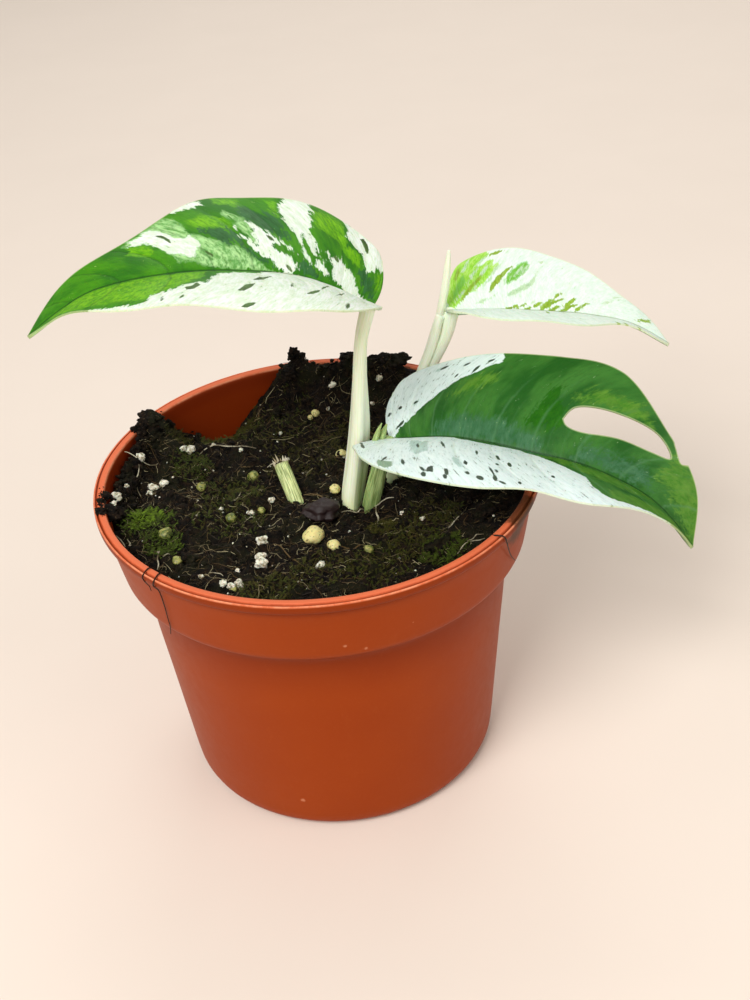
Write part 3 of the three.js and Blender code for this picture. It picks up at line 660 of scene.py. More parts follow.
def spline(points, t, mirrored=True, slope=False):
    """Points at t from 0 to 1 on the even Catmull-Rom curve through some points, or its slope there."""
    points = np.asarray(points, float)
    first, last = points[0], points[-1]
    if mirrored:
        first, last = 2 * first - points[1], 2 * last - points[-2]
    padded = np.vstack([first, points, last])
    place = np.clip(np.asarray(t, float), 0, 1) * (len(points) - 1)
    step = np.minimum(np.floor(place).astype(int), len(points) - 2)
    u = (place - step)[..., None]
    p0, p1, p2, p3 = (padded[step + k] for k in range(4))
    second, third = 2 * p0 - 5 * p1 + 4 * p2 - p3, 3 * p1 - p0 - 3 * p2 + p3
    if slope:
        return 0.5 * (p2 - p0 + 2 * second * u + 3 * third * u * u)
    return 0.5 * (2 * p1 + (p2 - p0) * u + second * u * u + third * u ** 3)


def lying(path, width, lift, steps=14, shade=0.5):
    """A strand that lies on the soil along a path of x and y."""
    t = np.linspace(0, 1, steps)
    line = spline(path, t)
    heights = [soil_top(x, y) + bank(x, y) + lift for x, y in line]
    heights = np.convolve(np.pad(heights, 2, mode="edge"), np.ones(5) / 5, mode="valid")
    points = np.column_stack([line, heights + 0.5 * width])
    points[:, :2] += 0.25 * np.column_stack([np.sin(7 * t + path[0][0]), np.cos(9 * t + path[0][1])])
    return points, width * (0.55 + 0.45 * np.sin(math.pi * t)), shade


straws = strand_piece("straw_fibres", [lying(path, 0.62 * width, 0.5) for path, width in STRAWS], 6)
smooth(straws, 80)
straw = Finish("straw_fibre", (96, 84, 58), roughness=0.6)
straw.paint(straw.band(straw.cloud(3, 3), 0.35, 0.65), (196, 188, 160))
straw.bumped(straw.cloud(0.5, 3), 0.4, 0.1)
fit(straws, [], straw)

hairs = [lying(path, width, 0.6) for path, width in DARK_ROOTS]
for _ in range(LYING_HAIRS):
    path = [anywhere(BED_REACH)]
    heading, stride = draw.uniform(0, 2 * math.pi), 0.4 + 1.9 * draw.random() ** 2
    for _ in range(3):
        heading += draw.uniform(-0.6, 0.6)
        path.append((path[-1][0] + stride * math.cos(heading), path[-1][1] + stride * math.sin(heading)))
    if max(math.hypot(*point) for point in path) < BED_REACH + 1:
        hairs.append(lying(path, draw.uniform(0.03, 0.09), draw.uniform(-0.2, 0.9), 5, draw.random() ** 1.8))
for _ in range(STANDING_HAIRS):
    angle = math.radians(draw.uniform(STANDING_FROM, STANDING_TO))
    x, y = on_circle(draw.uniform(STANDING_NEAR, STANDING_FAR), angle)
    foot = np.array((x, y, soil_top(x, y) - 0.4))
    lean = np.array((draw.uniform(-1.6, 1.6), draw.uniform(-1.6, 1.6), draw.uniform(1, 3.2)))
    droop = np.array((draw.uniform(-1.5, 1.5), draw.uniform(-1.5, 1.5), -1.2))
    t = np.linspace(0, 1, 5)[:, None]
    if math.hypot(*(foot + lean + droop)[:2]) < BED_REACH:
        hairs.append((foot + lean * t + droop * t * t, 0.08 - 0.05 * t[:, 0], draw.random() * 0.5))
for path in RIM_HAIRS:
    t = np.linspace(0, 1, 30)
    hairs.append((spline(path, t), 0.26 - 0.15 * t, 0.05))
roots = strand_piece("dark_roots", hairs, 3)
smooth(roots, 80)
root_bark = Finish("dark_root", (28, 18, 10), roughness=0.6, specular_ior_level=0.3)
shade = root_bark.kept("shade")
root_bark.paint(root_bark.band(shade, 0.1, 0.5), (98, 76, 40))
root_bark.paint(root_bark.band(shade, 0.55, 1.0), (196, 184, 140))
root_bark.paint(root_bark.cloud(1.5, 3), (44, 34, 20), 0.6)
fit(roots, [], root_bark)

# Moss
# Low feathery moss in patches, brownish on the mounds and bright green at the left. Each frond is a bent
# stem set with tiny leaflets.

# Patches: x, y, radius and how green
MOSS_PATCHES = (
    (-47.5, -8, 5, 1), (-46, -10, 8, 0.55), (-12, 41, 12, 0.2), (-25, -8, 10, 0.2), (30, -15, 8, 0.1),
    (15, -36, 9, 0.15), (31, -33, 6, 0.5), (-41, -21, 5, 0.6), (-36, 19, 6, 0.35), (16, -16, 4, 0),
    (-5, 22, 12, 0), (-24, 6, 9, 0.2), (9, 30, 8, 0), (0, -36, 8, 0.1), (-14, -42, 7, 0.1),
    (-30, 36, 5, 0.2), (-22, 44, 5, 0.1), (-41, 31, 4, 0.1), (24, -25, 7, 0.1), (38, 5, 8, 0.1),
)
FRONDS = 6800
LEAFLET_PAIRS = 7


def frond(x, y, length):
    """The points and faces of one frond: a bent stem with leaflets on both sides."""
    heading, lean = draw.uniform(0, 2 * math.pi), draw.uniform(0.2, 0.9)
    base = np.array((x, y, soil_top(x, y) - 0.1))
    out = np.array((math.cos(heading), math.sin(heading), 0))
    side = np.array((-out[1], out[0], 0))
    points, faces = [], []
    for step in range(LEAFLET_PAIRS):
        t = step / (LEAFLET_PAIRS - 1)
        centre = base + out * length * lean * t + np.array((0, 0, length * (1.1 * t - 0.5 * t * t)))
        blade = 0.22 * length * math.sin(math.pi * min(1, t + 0.12)) ** 0.7 + 0.04
        spread = draw.uniform(-0.2, 0.2)
        for sign in (-1, 1):
            start = len(points)
            tip = centre + side * sign * blade + out * blade * 0.6 + np.array((0, 0, blade * (0.3 + spread)))
            points += [centre - out * 0.05 * length, centre + out * 0.09 * length, tip]
            faces.append((start, start + 1, start + 2) if sign > 0 else (start + 1, start, start + 2))
    return points, faces


points, faces, greens = [], [], []
while len(faces) < FRONDS * 2 * LEAFLET_PAIRS:
    middle_x, middle_y, reach, green = MOSS_PATCHES[draw.randrange(len(MOSS_PATCHES))]
    x, y = anywhere(reach)
    x, y = middle_x + x, middle_y + y
    if math.hypot(x, y) > BED_REACH:
        continue
    new_points, new_faces = frond(x, y, draw.uniform(0.8, 2.1) * (1 + 0.5 * green))
    faces += [tuple(i + len(points) for i in face) for face in new_faces]
    points += new_points
    greens += [draw.uniform(0, 0.55) + green] * len(new_points)
moss = new_piece("moss_fronds", points, faces)
keep_on(moss, "green", greens)
feathery = Finish("feather_moss", (26, 26, 8), roughness=0.7, specular_ior_level=0.15)
green = feathery.kept("green")
feathery.paint(feathery.cloud(2.5, 3), (84, 78, 28))
feathery.paint(feathery.band(green, 0.25, 0.8), (58, 70, 20))
feathery.paint(feathery.band(green, 0.8, 1.4), (100, 126, 28))
fit(moss, [], feathery)

# Buried stem
# The short creeping stem that carries the leaf stalks. It lies under the soil, ringed with old leaf scars,
# and keeps the solid's own shape.

stem_bark = Finish("creeping_stem", (96, 104, 54), roughness=0.6)
scars = stem_bark.maths("SINE", stem_bark.times(stem_bark.along("X"), 2.2))
stem_bark.paint(stem_bark.cloud(3, 4), (150, 140, 92))
stem_bark.paint(stem_bark.band(scars, 0.8, 1.0), (92, 70, 42))
stem_bark.bumped(scars, 0.4, 0.2)
stem_bark.dress(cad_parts["buried_stem"])

# Leaf stalks
# Pale fleshy stalks, each with two sheath wings on either side of a groove. They rise from the soil and
# end in a rounded joint under the blade.

# A stalk: points on its axis, then its radius and the share by which its wings stand out, both at even
# steps along it, and the side on which its groove opens
STALK_LEFT = {
    "axis": (
        (7.9, -2.2, 76), (8.6, -1.5, 82), (10.5, -0.5, 92), (12.2, 0.2, 104), (13.5, 0.3, 118),
        (14.9, 0.7, 128.5), (17.2, 1.2, 136.7)),
    "radii": (2.35, 2.3, 2, 1.8, 1.65, 1.65, 1.95), "wing": (0.7, 0.8, 1.15, 1.05, 0.45, 0.08, 0),
    "opens": (0.24, 0.97, 0),
}
STALK_UPPER_RIGHT = {
    "axis": (
        (17.3, 1.3, 75), (21.9, 10.2, 83), (25.8, 19.1, 91), (29.7, 25.8, 98.2), (35, 29.5, 105.2),
        (38.6, 30.3, 112), (40.3, 30.1, 118.9)),
    "radii": (2.4, 2.2, 1.9, 1.75, 1.7, 1.75, 2.2), "wing": (0.3, 0.3, 0.25, 0.2, 0.1, 0, 0),
    "opens": (-1, 0.2, 0.3),
}
SHEATH_UPPER_RIGHT = {
    "axis": (
        (29.2, 25.4, 98.4), (31.1, 27.4, 102.5), (33.6, 29, 107.6), (35.4, 29.4, 113), (37.1, 29.4, 118.6)),
    "radii": (1.2, 1.5, 1.5, 1.4, 1.2), "wing": (0, 0.1, 0.15, 0.15, 0), "opens": (1, -0.4, 0),
}
SHEATH_BRIDGE = {
    "axis": ((37.1, 29.4, 118.1), (38.6, 29.6, 118.1), (40.2, 29.9, 118)), "radii": (1, 0.85, 1.1),
    "wing": (0, 0, 0), "opens": (0, 0, 1),
}
STALK_LOWER_RIGHT = {
    "axis": ((13.6, -3.9, 76), (14, -3.6, 80), (15.8, -2.6, 86.4), (17.8, -0.9, 92.4), (20.2, 1, 97.3)),
    "radii": (2.3, 2.2, 2, 1.9, 1.9), "wing": (0.3, 0.4, 0.45, 0.4, 0.1), "opens": (-1, -0.1, 0.4),
}
SHEATH_TIPS = (
    {
        "axis": ((15, -2.2, 93.4), (16, -1.8, 98.4), (17.2, -1.4, 101.8), (18.4, -1.2, 104.2)),
        "radii": (1, 0.9, 0.6, 0.15), "wing": (0, 0, 0, 0), "opens": (-1, 0, 0)},
    {
        "axis": ((16.6, -1, 94), (17.6, -0.3, 98), (18.8, 0.2, 100.8), (19.7, 0.4, 102.8)),
        "radii": (1.1, 1.1, 0.8, 0.2), "wing": (0, 0, 0, 0), "opens": (-1, 0, 0)},
)
# How far the wings lie from the middle of the groove and how broad they are, in radians
WING_AT = 0.78
WING_WIDTH = 0.4
# Fine ribs round a stalk
RIBS = 19
# Where the rings of a rounded end lie, as shares of its length
CAP_SHARES = (0.35, 0.62, 0.82, 0.94, 0.99)


def bump(x, width):
    return np.exp(-(x / width) ** 2)


def stalk_points(stalk, sides, steps, rounded, ribs):
    """Rings of points along a stalk. A rounded end closes over the last rings like a finger tip."""
    t = np.linspace(0, 1, steps)
    centre = spline(stalk["axis"], t)
    tangent = spline(stalk["axis"], t, slope=True)
    tangent /= np.linalg.norm(tangent, axis=1, keepdims=True)
    across = np.cross(tangent, np.array(stalk["opens"], float))
    across /= np.linalg.norm(across, axis=1, keepdims=True)
    opening = np.cross(across, tangent)
    radii, wing = (np.interp(t, np.linspace(0, 1, len(stalk[key])), stalk[key]) for key in ("radii", "wing"))
    turn = np.arange(sides) / sides * 2 * math.pi
    turn = np.where(turn > math.pi, turn - 2 * math.pi, turn)
    wings = bump(turn - WING_AT, WING_WIDTH) + bump(turn + WING_AT, WING_WIDTH) - 0.5 * bump(turn, WING_WIDTH)
    radius = radii[:, None] * (1 + wing[:, None] * wings[None])
    radius = radius + ribs * np.sin(turn * RIBS)[None] * (0.6 + 0.4 * np.sin(9 * t))[:, None]
    ring = (opening[:, None] * np.cos(turn)[None, :, None] + across[:, None] * np.sin(turn)[None, :, None])
    points = centre[:, None] + ring * radius[:, :, None]
    if rounded:
        caps = [centre[-1] + tangent[-1] * rounded * share
                + ring[-1] * radius[-1][:, None] * math.sqrt(1 - share ** 2) for share in CAP_SHARES]
        points = np.concatenate([points, np.array(caps)])
    return points


def stalk_piece(name, stalk, sides=56, steps=70, rounded=0.0, ribs=0.03):
    """One stalk, with its length from foot to top kept on it for the finish."""
    points = stalk_points(stalk, sides, steps, rounded, ribs)
    piece = new_piece(name, points.reshape(-1, 3), tube_faces(len(points), sides))
    keep_on(piece, "length", np.repeat(np.linspace(0, 1, len(points)), sides))
    keep_on(piece, "round", np.tile(np.arange(sides) / sides, len(points)))
    smooth(piece, 60)
    return piece


def joined(name, pieces):
    select_only(*pieces)
    bpy.ops.object.join()
    pieces[0].name = name
    return pieces[0]


def stalk_finish(name, pale, green, foot, streak, wing=None, dry=None):
    """Pale flesh with fine lines along the stalk, greener towards the foot. A wing is the part of the
    round that its sheath takes up, and the colours of the painted shade laid over it above and below.
    Dry is the colour of a cut end."""
    flesh = Finish(
        name, pale, roughness=0.5, specular_ior_level=0.3, subsurface_weight=0.18, subsurface_scale=0.002)
    length, round_share = flesh.kept("length"), flesh.kept("round")
    around, up = flesh.times(round_share, 0.03), flesh.times(length, 0.0032)
    flat = flesh.put("CombineXYZ", {0: around, 1: up}).outputs[0]
    lines = flesh.cloud(0.7, 3, 0.6, where=flat)
    flesh.paint(flesh.band(lines, 0.35, 0.7), green)
    flesh.paint(flesh.band(flesh.plus(length, flesh.times(lines, 0.15)), foot, 0.05), streak)
    # Painted shade on the sheath side of the round, darker towards the foot
    if wing:
        begins, ends, high, low = wing
        sheath = flesh.times(flesh.between(round_share, begins, begins + 0.03, ends - 0.03, ends),
                             flesh.band(length, 0.62, 0.45))
        lower = flesh.band(flesh.plus(length, flesh.times(lines, 0.12)), 0.5, 0.3)
        flesh.paint(sheath, flesh.mixed(lower, high, low), 0.85)
    flesh.paint(flesh.band(flesh.cloud(0.45, 4, 0.7, where=flat), 0.64, 0.74), (84, 100, 44), 0.35)
    if dry:
        end = flesh.plus(length, flesh.times(flesh.plus(lines, -0.5), 0.25))
        flesh.paint(flesh.band(end, 0.84, 0.93), dry)
    flesh.bumped(lines, 0.25, 0.15)
    return flesh


left_stalk = stalk_piece("stalk_left", STALK_LEFT, rounded=1.6)
# The wing colours are painted shade on the sheath side
fit(left_stalk, ["petiole_left"], stalk_finish(
    "cream_stalk", pale=(252, 255, 232), green=(234, 245, 196), foot=0.3, streak=(232, 240, 150),
    wing=(0.57, 0.98, (226, 232, 212), (168, 180, 136))))

right_stalk = joined("stalk_upper_right", [
    stalk_piece("stalk", STALK_UPPER_RIGHT, rounded=1.2),
    stalk_piece("sheath", SHEATH_UPPER_RIGHT, sides=36, steps=40, rounded=0.6),
    stalk_piece("bridge", SHEATH_BRIDGE, sides=24, steps=10),
])
fit(right_stalk, ["petiole_upper_right"], stalk_finish(
    "cream_stalk_right", pale=(252, 255, 236), green=(236, 246, 208), foot=0.35, streak=(186, 200, 140)))

green_stalk = joined("stalk_lower_right", [
    stalk_piece("stalk", STALK_LOWER_RIGHT, rounded=1.2, ribs=0.06),
    *[stalk_piece("tip", tip, sides=20, steps=24) for tip in SHEATH_TIPS],
])
fit(green_stalk, ["petiole_lower_right"], stalk_finish(
    "green_stalk", pale=(182, 204, 132), green=(98, 122, 58), foot=0.55, streak=(70, 92, 38)))

# New leaf
# The next leaf, still rolled up as a thin pointed spike of pale cream flesh. It grows out of the split
# sheath of the upper right stalk.

SPIKE = {
    "axis": ((36.6, 29.4, 117), (37.8, 29.6, 121.4), (39, 29.8, 127), (39.8, 30, 132.4), (40.4, 30, 137.2)),
    "radii": (0.95, 1.08, 1.04, 0.9, 0.48), "wing": (0.1, 0.12, 0.12, 0.1, 0), "opens": (-1, -1, 0),
}
spike = stalk_piece("rolled_leaf", SPIKE, sides=28, steps=60, rounded=0.3, ribs=0.02)
fit(spike, ["new_leaf"], stalk_finish(
    "rolled_leaf_flesh", pale=(240, 243, 222), green=(220, 230, 190), foot=0.2, streak=(224, 232, 192)))

# Cut stalk
# The stub of an older stalk, cut off above the soil. Its end has dried and split into pale frays round a
# hollow, with one loose thread.

STUB = {
    "axis": ((-5.6, -1.8, 76), (-6.3, -0.4, 80), (-8.2, 3.6, 84.6), (-10, 7.6, 88.6)),
    "radii": (2.1, 2.1, 2.05, 1.95), "wing": (0.1, 0.1, 0.1, 0.1), "opens": (1, 0.3, 0),
}
FRAYS = 15
# The middle of the cut and the half widths of the ring on which the frays stand
CUT_X, CUT_Y, CUT_Z = -10, 7.6, 88.2
CUT_LONG, CUT_WIDE = 1.75, 1.55

# Rounded less than nothing, so the end closes inwards and leaves the hollow.
stub = stalk_piece("cut_stalk", STUB, sides=48, steps=40, rounded=-2.0, ribs=0.1)
flaps = []
t = np.linspace(0, 1, 6)[:, None]
for index in range(FRAYS):
    angle = index * 2 * math.pi / FRAYS + draw.uniform(-0.15, 0.15)
    c, s = math.cos(angle), math.sin(angle)
    foot = np.array((CUT_X + CUT_LONG * c, CUT_Y + CUT_WIDE * s, CUT_Z + 0.35 * s))
    lean = np.array((0.5 * c - 0.35, 0.5 * s + 0.75, 0.9))
    bow = np.array((c, s, 0)) * (t - t * t) * draw.uniform(-1, 0.8)
    widths = draw.uniform(0.24, 0.46) * (1.05 - t[:, 0])
    flaps.append((foot + lean * t * draw.uniform(0.5, 1.6) + bow, widths, draw.random()))
t = np.linspace(0, 1, 12)[:, None]
thread = np.array((-10.8, 8.6, 88.6)) + np.array((-3.2, 0.8, -1.9)) * t + np.array((0, 0, 1.6)) * (t - t * t)
flaps.append((thread, 0.16 - 0.08 * t[:, 0], 0.6))
frays = strand_piece("cut_stalk_frays", flaps, 5)
smooth(frays, 60)
dry_flesh = Finish("dried_flesh", (146, 128, 92), roughness=0.8)
dry_flesh.paint(dry_flesh.kept("shade"), (234, 228, 204))
dry_flesh.paint(dry_flesh.cloud(0.8, 3), (132, 110, 74), 0.5)
fit(frays, [], dry_flesh)
smooth(stub, 50)
fit(stub, ["cut_petiole"], stalk_finish(
    "cut_stalk_flesh", pale=(226, 234, 168), green=(112, 132, 70), foot=0.2, streak=(100, 124, 60),
    dry=(122, 92, 56)))

# Leaf blades
# Three leathery blades, each folded along its midrib. The left one is marbled green, mint and white, the
# upper right one is nearly white and the lower right one is deep green with white lobes and a long hole.

# A blade: points on its midrib, then how far it rolls to a side and how steeply its halves rise, in degrees
# at the foot, the middle and the tip. Each half has its side of the midrib, how its slope eases off towards
# the edge, in degrees, and its outline in the flat leaf: along the midrib and away from it.
BLADE_LEFT = {
    "midrib": (
        (18.3, 1.2, 136.8), (3.7, -1.2, 147.3), (-13.5, -4.1, 152.4), (-31.3, -6.9, 154.3),
        (-49.2, -9.8, 152.4), (-64.9, -12.2, 143.6)),
    "roll": (-1.6, -5.3, -2.6), "fold": (26.8, 13.8, 16.2),
    "rear": {
        "side": -1, "cup": 4.4,
        "outline": (
            (-2.3, 14.9), (0, 20.4), (13.6, 26.8), (27.2, 27.4), (40.9, 27.6), (54.5, 19.3), (68.1, 10.8),
            (81.7, 6.6), (90.8, 0.3))},
    "front": {
        "side": 1, "cup": 12.3,
        "outline": (
            (1.2, 6.5), (3.6, 13.5), (8.5, 21.5), (17.5, 27.6), (27.2, 29.3), (40.9, 24), (54.5, 20.2),
            (68.1, 15.5), (81.7, 4.1), (90.8, 0.3))},
}
BLADE_UPPER_RIGHT = {
    "midrib": (
        (39.7, 30, 119.3), (52.1, 28.4, 119.4), (64.5, 26.8, 118.5), (76.8, 25.1, 117.1), (88.7, 23.5, 114),
        (99.2, 22, 107.4)),
    "roll": (-2.1, 3.7, 0.7), "fold": (29, 27.8, 22),
    "rear": {
        "side": 1, "cup": 9.5,
        "outline": (
            (0, 6.5), (0.6, 12.5), (3.2, 17.2), (9.4, 20.5), (18.7, 21.3), (28.1, 19.1), (37.4, 14.3),
            (46.8, 8.4), (56.2, 4.2), (62.4, 0.3))},
    "front": {
        "side": -1, "cup": 12.7,
        "outline": (
            (0.4, 6.5), (1.4, 12), (4.2, 16.8), (9.4, 19.8), (18.7, 20.5), (28.1, 19.1), (37.4, 15.3),
            (46.8, 8.4), (56.2, 4.4), (62.4, 0.3))},
}
BLADE_LOWER_RIGHT = {
    "midrib": (
        (20.3, 1.3, 97.6), (37.6, -3.8, 99.4), (54.9, -8.7, 96.7), (71.9, -13.5, 92.5), (87.2, -17.6, 83.5),
        (97.9, -20.5, 69.2)),
    "roll": (-5.1, 10.4, 13.3), "fold": (19.2, 30.5, 38.9),
    "rear": {
        "side": 1, "cup": 9.3,
        "outline": (
            (-3.1, 16.2), (0, 25.7), (13.6, 27.6), (27.2, 28.2), (40.9, 29.1), (54.5, 27.6), (68.1, 17.5),
            (81.7, 9.2), (90.8, 0.3))},
    "front": {
        "side": -1, "cup": 16.4,
        "outline": (
            (-7.2, 11), (0, 23.3), (13.6, 31.9), (27.2, 31), (40.9, 26.4), (54.5, 24.8), (68.1, 16.2),
            (81.7, 5.5), (90.8, 0.3))},
}
LEAF_HOLE = (
    (44.3, 10.7), (46.5, 14.5), (52, 16), (60, 16.4), (66.5, 15.5), (70.8, 12), (66, 10.6), (58, 10),
    (50, 8.4), (45.8, 8.9),
)
LEAF_NOTCH = (
    (68.4, 19.2), (69.6, 16.6), (70.9, 14.9), (72.3, 13.3), (73.3, 12.5), (74.1, 13), (75, 13.9),
    (75.4, 15), (74.6, 18.5),
)
BLADE_ROWS = 240
BLADE_COLUMNS = 60
RING_STEPS = 160
# Half of a blade's thickness at its edge, and how much is added inside
EDGE_THICKNESS, FLESH_THICKNESS = 0.2, 0.12
GROOVE_DEPTH = 0.35
# Distances kept where a tone has no mark near, and far from the rim
NO_MARK, NO_RIM = -4.0, 9.0
# Closes a half's outline far beyond the midrib, so that the midrib isn't taken for a rim
BEYOND_MIDRIB = ((60, -40), (-20, -40))


def through_three(values, t):
    """The parabola through values at the foot, the middle and the tip."""
    foot, middle, tip = values
    return foot * (1 - t) * (1 - 2 * t) + 4 * middle * t * (1 - t) + tip * t * (2 * t - 1)


def bend(blade, half, flat):
    """Where points of the flat leaf lie once it is folded, rolled and cupped."""
    x, y = flat[:, 0], flat[:, 1]
    t = np.clip(x / half["outline"][-1][0], 0, 1)
    tangent = spline(blade["midrib"], t, slope=True)
    tangent /= np.linalg.norm(tangent, axis=1, keepdims=True)
    across = np.cross(np.array((0, 0, 1.0)), tangent)
    across /= np.linalg.norm(across, axis=1, keepdims=True)
    roll = np.radians(through_three(blade["roll"], t))[:, None]
    level = across * np.cos(roll) + np.cross(tangent, across) * np.sin(roll)
    up = np.cross(tangent, level)
    half_width = max(point[1] for point in half["outline"])
    slope = np.radians(through_three(blade["fold"], t) - half["cup"] * y / (2 * half_width))[:, None]
    return (spline(blade["midrib"], t) + np.minimum(x, 0)[:, None] * tangent
            + level * half["side"] * y[:, None] * np.cos(slope) + up * y[:, None] * np.sin(slope))


def flat_point(half, row, column):
    """The flat place of a row, which follows a side vein, and a column, from midrib to edge."""
    length = half["outline"][-1][0]
    edge = spline(half["outline"], row, mirrored=False)
    root = np.column_stack([length * row ** 1.7, 0 * row])
    depth = 0.045 * length * np.sin(math.pi * row) + 1.2 * (1 - row) ** 8
    flat = root + (edge - root) * column[:, None]
    flat[:, 0] -= 4 * column * (1 - column) * depth
    return flat


def inside(points, outline):
    """How far points lie inside an outline, in millimetres, less than nothing outside it."""
    outline = np.asarray(outline, float)
    nearest = np.full(len(points), np.inf)
    within = np.zeros(len(points), bool)
    for (ax, ay), (bx, by) in zip(outline, np.roll(outline, -1, axis=0)):
        edge = np.array((bx - ax, by - ay))
        offset = points - (ax, ay)
        share = np.clip(offset @ edge / (edge @ edge + 1e-12), 0, 1)
        nearest = np.minimum(nearest, np.linalg.norm(offset - share[:, None] * edge, axis=1))
        crosses = (ay > points[:, 1]) != (by > points[:, 1])
        with np.errstate(divide="ignore", invalid="ignore"):
            reach = ax + (points[:, 1] - ay) * (bx - ax) / (by - ay)
        within ^= crosses & (points[:, 0] < reach)
    return np.where(within, nearest, -nearest)


def fleck(points, place):
    """The same for a small oval fleck: x, y, half length, half width and the turn of its long side."""
    x, y, long, wide, turn = place
    offset = points - (x, y)
    c, s = math.cos(math.radians(turn)), math.sin(math.radians(turn))
    along, across = offset @ (c, s), offset @ (-s, c)
    return (1 - np.sqrt((along / long) ** 2 + (across / wide) ** 2)) * wide


def inside_mark(points, shape):
    """How far points lie inside a fleck or an outline."""
    return fleck(points, shape) if isinstance(shape[0], (int, float)) else inside(points, shape)


def blade_piece(name, blade, tones, relief, openings=()):
    """A blade as a thin closed sheet. Tones are named outlines and flecks on the rear and front halves."""
    width = 2 * BLADE_COLUMNS + 1
    row = np.repeat(np.linspace(0, 1, BLADE_ROWS + 1), width)
    column = np.tile(np.linspace(-1, 1, width), BLADE_ROWS + 1)
    halves = (("rear", column < 0), ("front", column >= 0))
    flat = np.empty((len(row), 2))
    for half, picks in halves:
        flat[picks] = flat_point(blade[half], row[picks], np.abs(column[picks]))
    facing = -1 if blade["front"]["side"] < 0 else 1
    corner = np.arange(BLADE_ROWS * width).reshape(BLADE_ROWS, width)[:, :-1].ravel()
    faces = np.column_stack([corner, corner + width, corner + width + 1, corner + 1])[:, ::facing]
    rings = [spline(opening + opening[:1], np.linspace(0, 1, RING_STEPS + 1)[:-1], mirrored=False)
             for opening in openings]
    for ring in rings:
        gone = (inside(flat[faces].mean(axis=1), ring) > 0) & (column[faces] <= 0).all(axis=1)
        brink = np.intersect1d(faces[gone], faces[~gone])
        steps = ring[None] - flat[brink][:, None]
        flat[brink] = ring[np.argmin((steps ** 2).sum(axis=2), axis=1)]
        faces = faces[~gone]
    middle = np.empty((len(row), 3))
    for half, picks in halves:
        middle[picks] = bend(blade, blade[half], flat[picks])
    grid = middle.reshape(BLADE_ROWS + 1, width, 3)
    normal = np.cross(np.gradient(grid, axis=0), np.gradient(grid, axis=1)).reshape(-1, 3)
    normal *= facing / (np.linalg.norm(normal, axis=1, keepdims=True) + 1e-9)
    away = np.abs(flat[:, 1])
    raised = relief(row, column)
    thick = EDGE_THICKNESS + FLESH_THICKNESS * (1 - np.abs(column) ** 10)
    groove = GROOVE_DEPTH * bump(away, 0.7) * (1 - row)
    rib = bump(away, 0.9) * (1 - 0.75 * row)
    upper = middle + normal * (raised + thick - groove)[:, None]
    lower = middle + normal * (raised - thick - rib)[:, None]
    count = len(middle)
    sides = np.concatenate([np.column_stack([faces[:, k], faces[:, (k + 1) % 4]]) for k in range(4)])
    keys = {tuple(pair) for pair in sides.tolist()}
    walls = [(b, a, a + count, b + count) for a, b in keys if (b, a) not in keys]
    all_faces = faces.tolist() + (faces[:, ::-1] + count).tolist() + walls
    piece = new_piece(name, np.concatenate([upper, lower]), all_faces)

    for tone, marks in tones.items():
        best = np.full(count, NO_MARK)
        for half, picks in halves:
            for shape in marks.get(half, ()):
                best[picks] = np.maximum(best[picks], inside_mark(flat[picks], shape))
        keep_on(piece, tone, np.tile(best, 2))
    rim = np.full(count, NO_RIM)
    for half, picks in halves:
        edge = spline(blade[half]["outline"], np.linspace(0, 1, RING_STEPS), mirrored=False)
        rim[picks] = np.minimum(rim[picks], inside(flat[picks], np.vstack([edge, BEYOND_MIDRIB])))
    _, is_rear = halves[0]
    for ring in rings:
        rim[is_rear] = np.minimum(rim[is_rear], np.abs(inside(flat[is_rear], ring)))
    keep_on(piece, "rim", np.tile(rim, 2))
    keep_on(piece, "from_midrib", np.tile(away, 2))
    keep_on(piece, "underside", np.repeat((0, 1), count))
    corners = np.empty(len(piece.data.loops), np.int32)
    piece.data.loops.foreach_get("vertex_index", corners)
    veins = np.tile(np.column_stack([row, column]), (2, 1))[corners]
    piece.data.uv_layers.new(name="veins").data.foreach_set("uv", veins.astype(np.float32).ravel())
    smooth(piece, 70)
    return piece


def quilted(veins, depth, wave):
    """Low pillows between the side veins, and a gentle wave along the edge."""
    def relief(row, column):
        pillow = np.abs(np.sin(math.pi * veins * row)) ** 0.6 * np.sin(math.pi * np.abs(column)) ** 0.7
        ripple = np.sin(veins * 2.6 * row + 2 * np.sign(column)) * np.abs(column) ** 4
        return depth * (pillow - 0.5) * np.sin(math.pi * row) ** 0.5 + wave * ripple * np.sin(math.pi * row)
    return relief


# Thin marks are drawn this much wider, in millimetres, so that fraying doesn't break them up
FINE_TONES = ("dark", "olive")
FINE_EXTRA = 0.16
# The two kinds of side vein: how many to each main vein, how broad they are and how strong
VEIN_KINDS = ((1, 0.2, 0.6), (3, 0.34, 0.2))


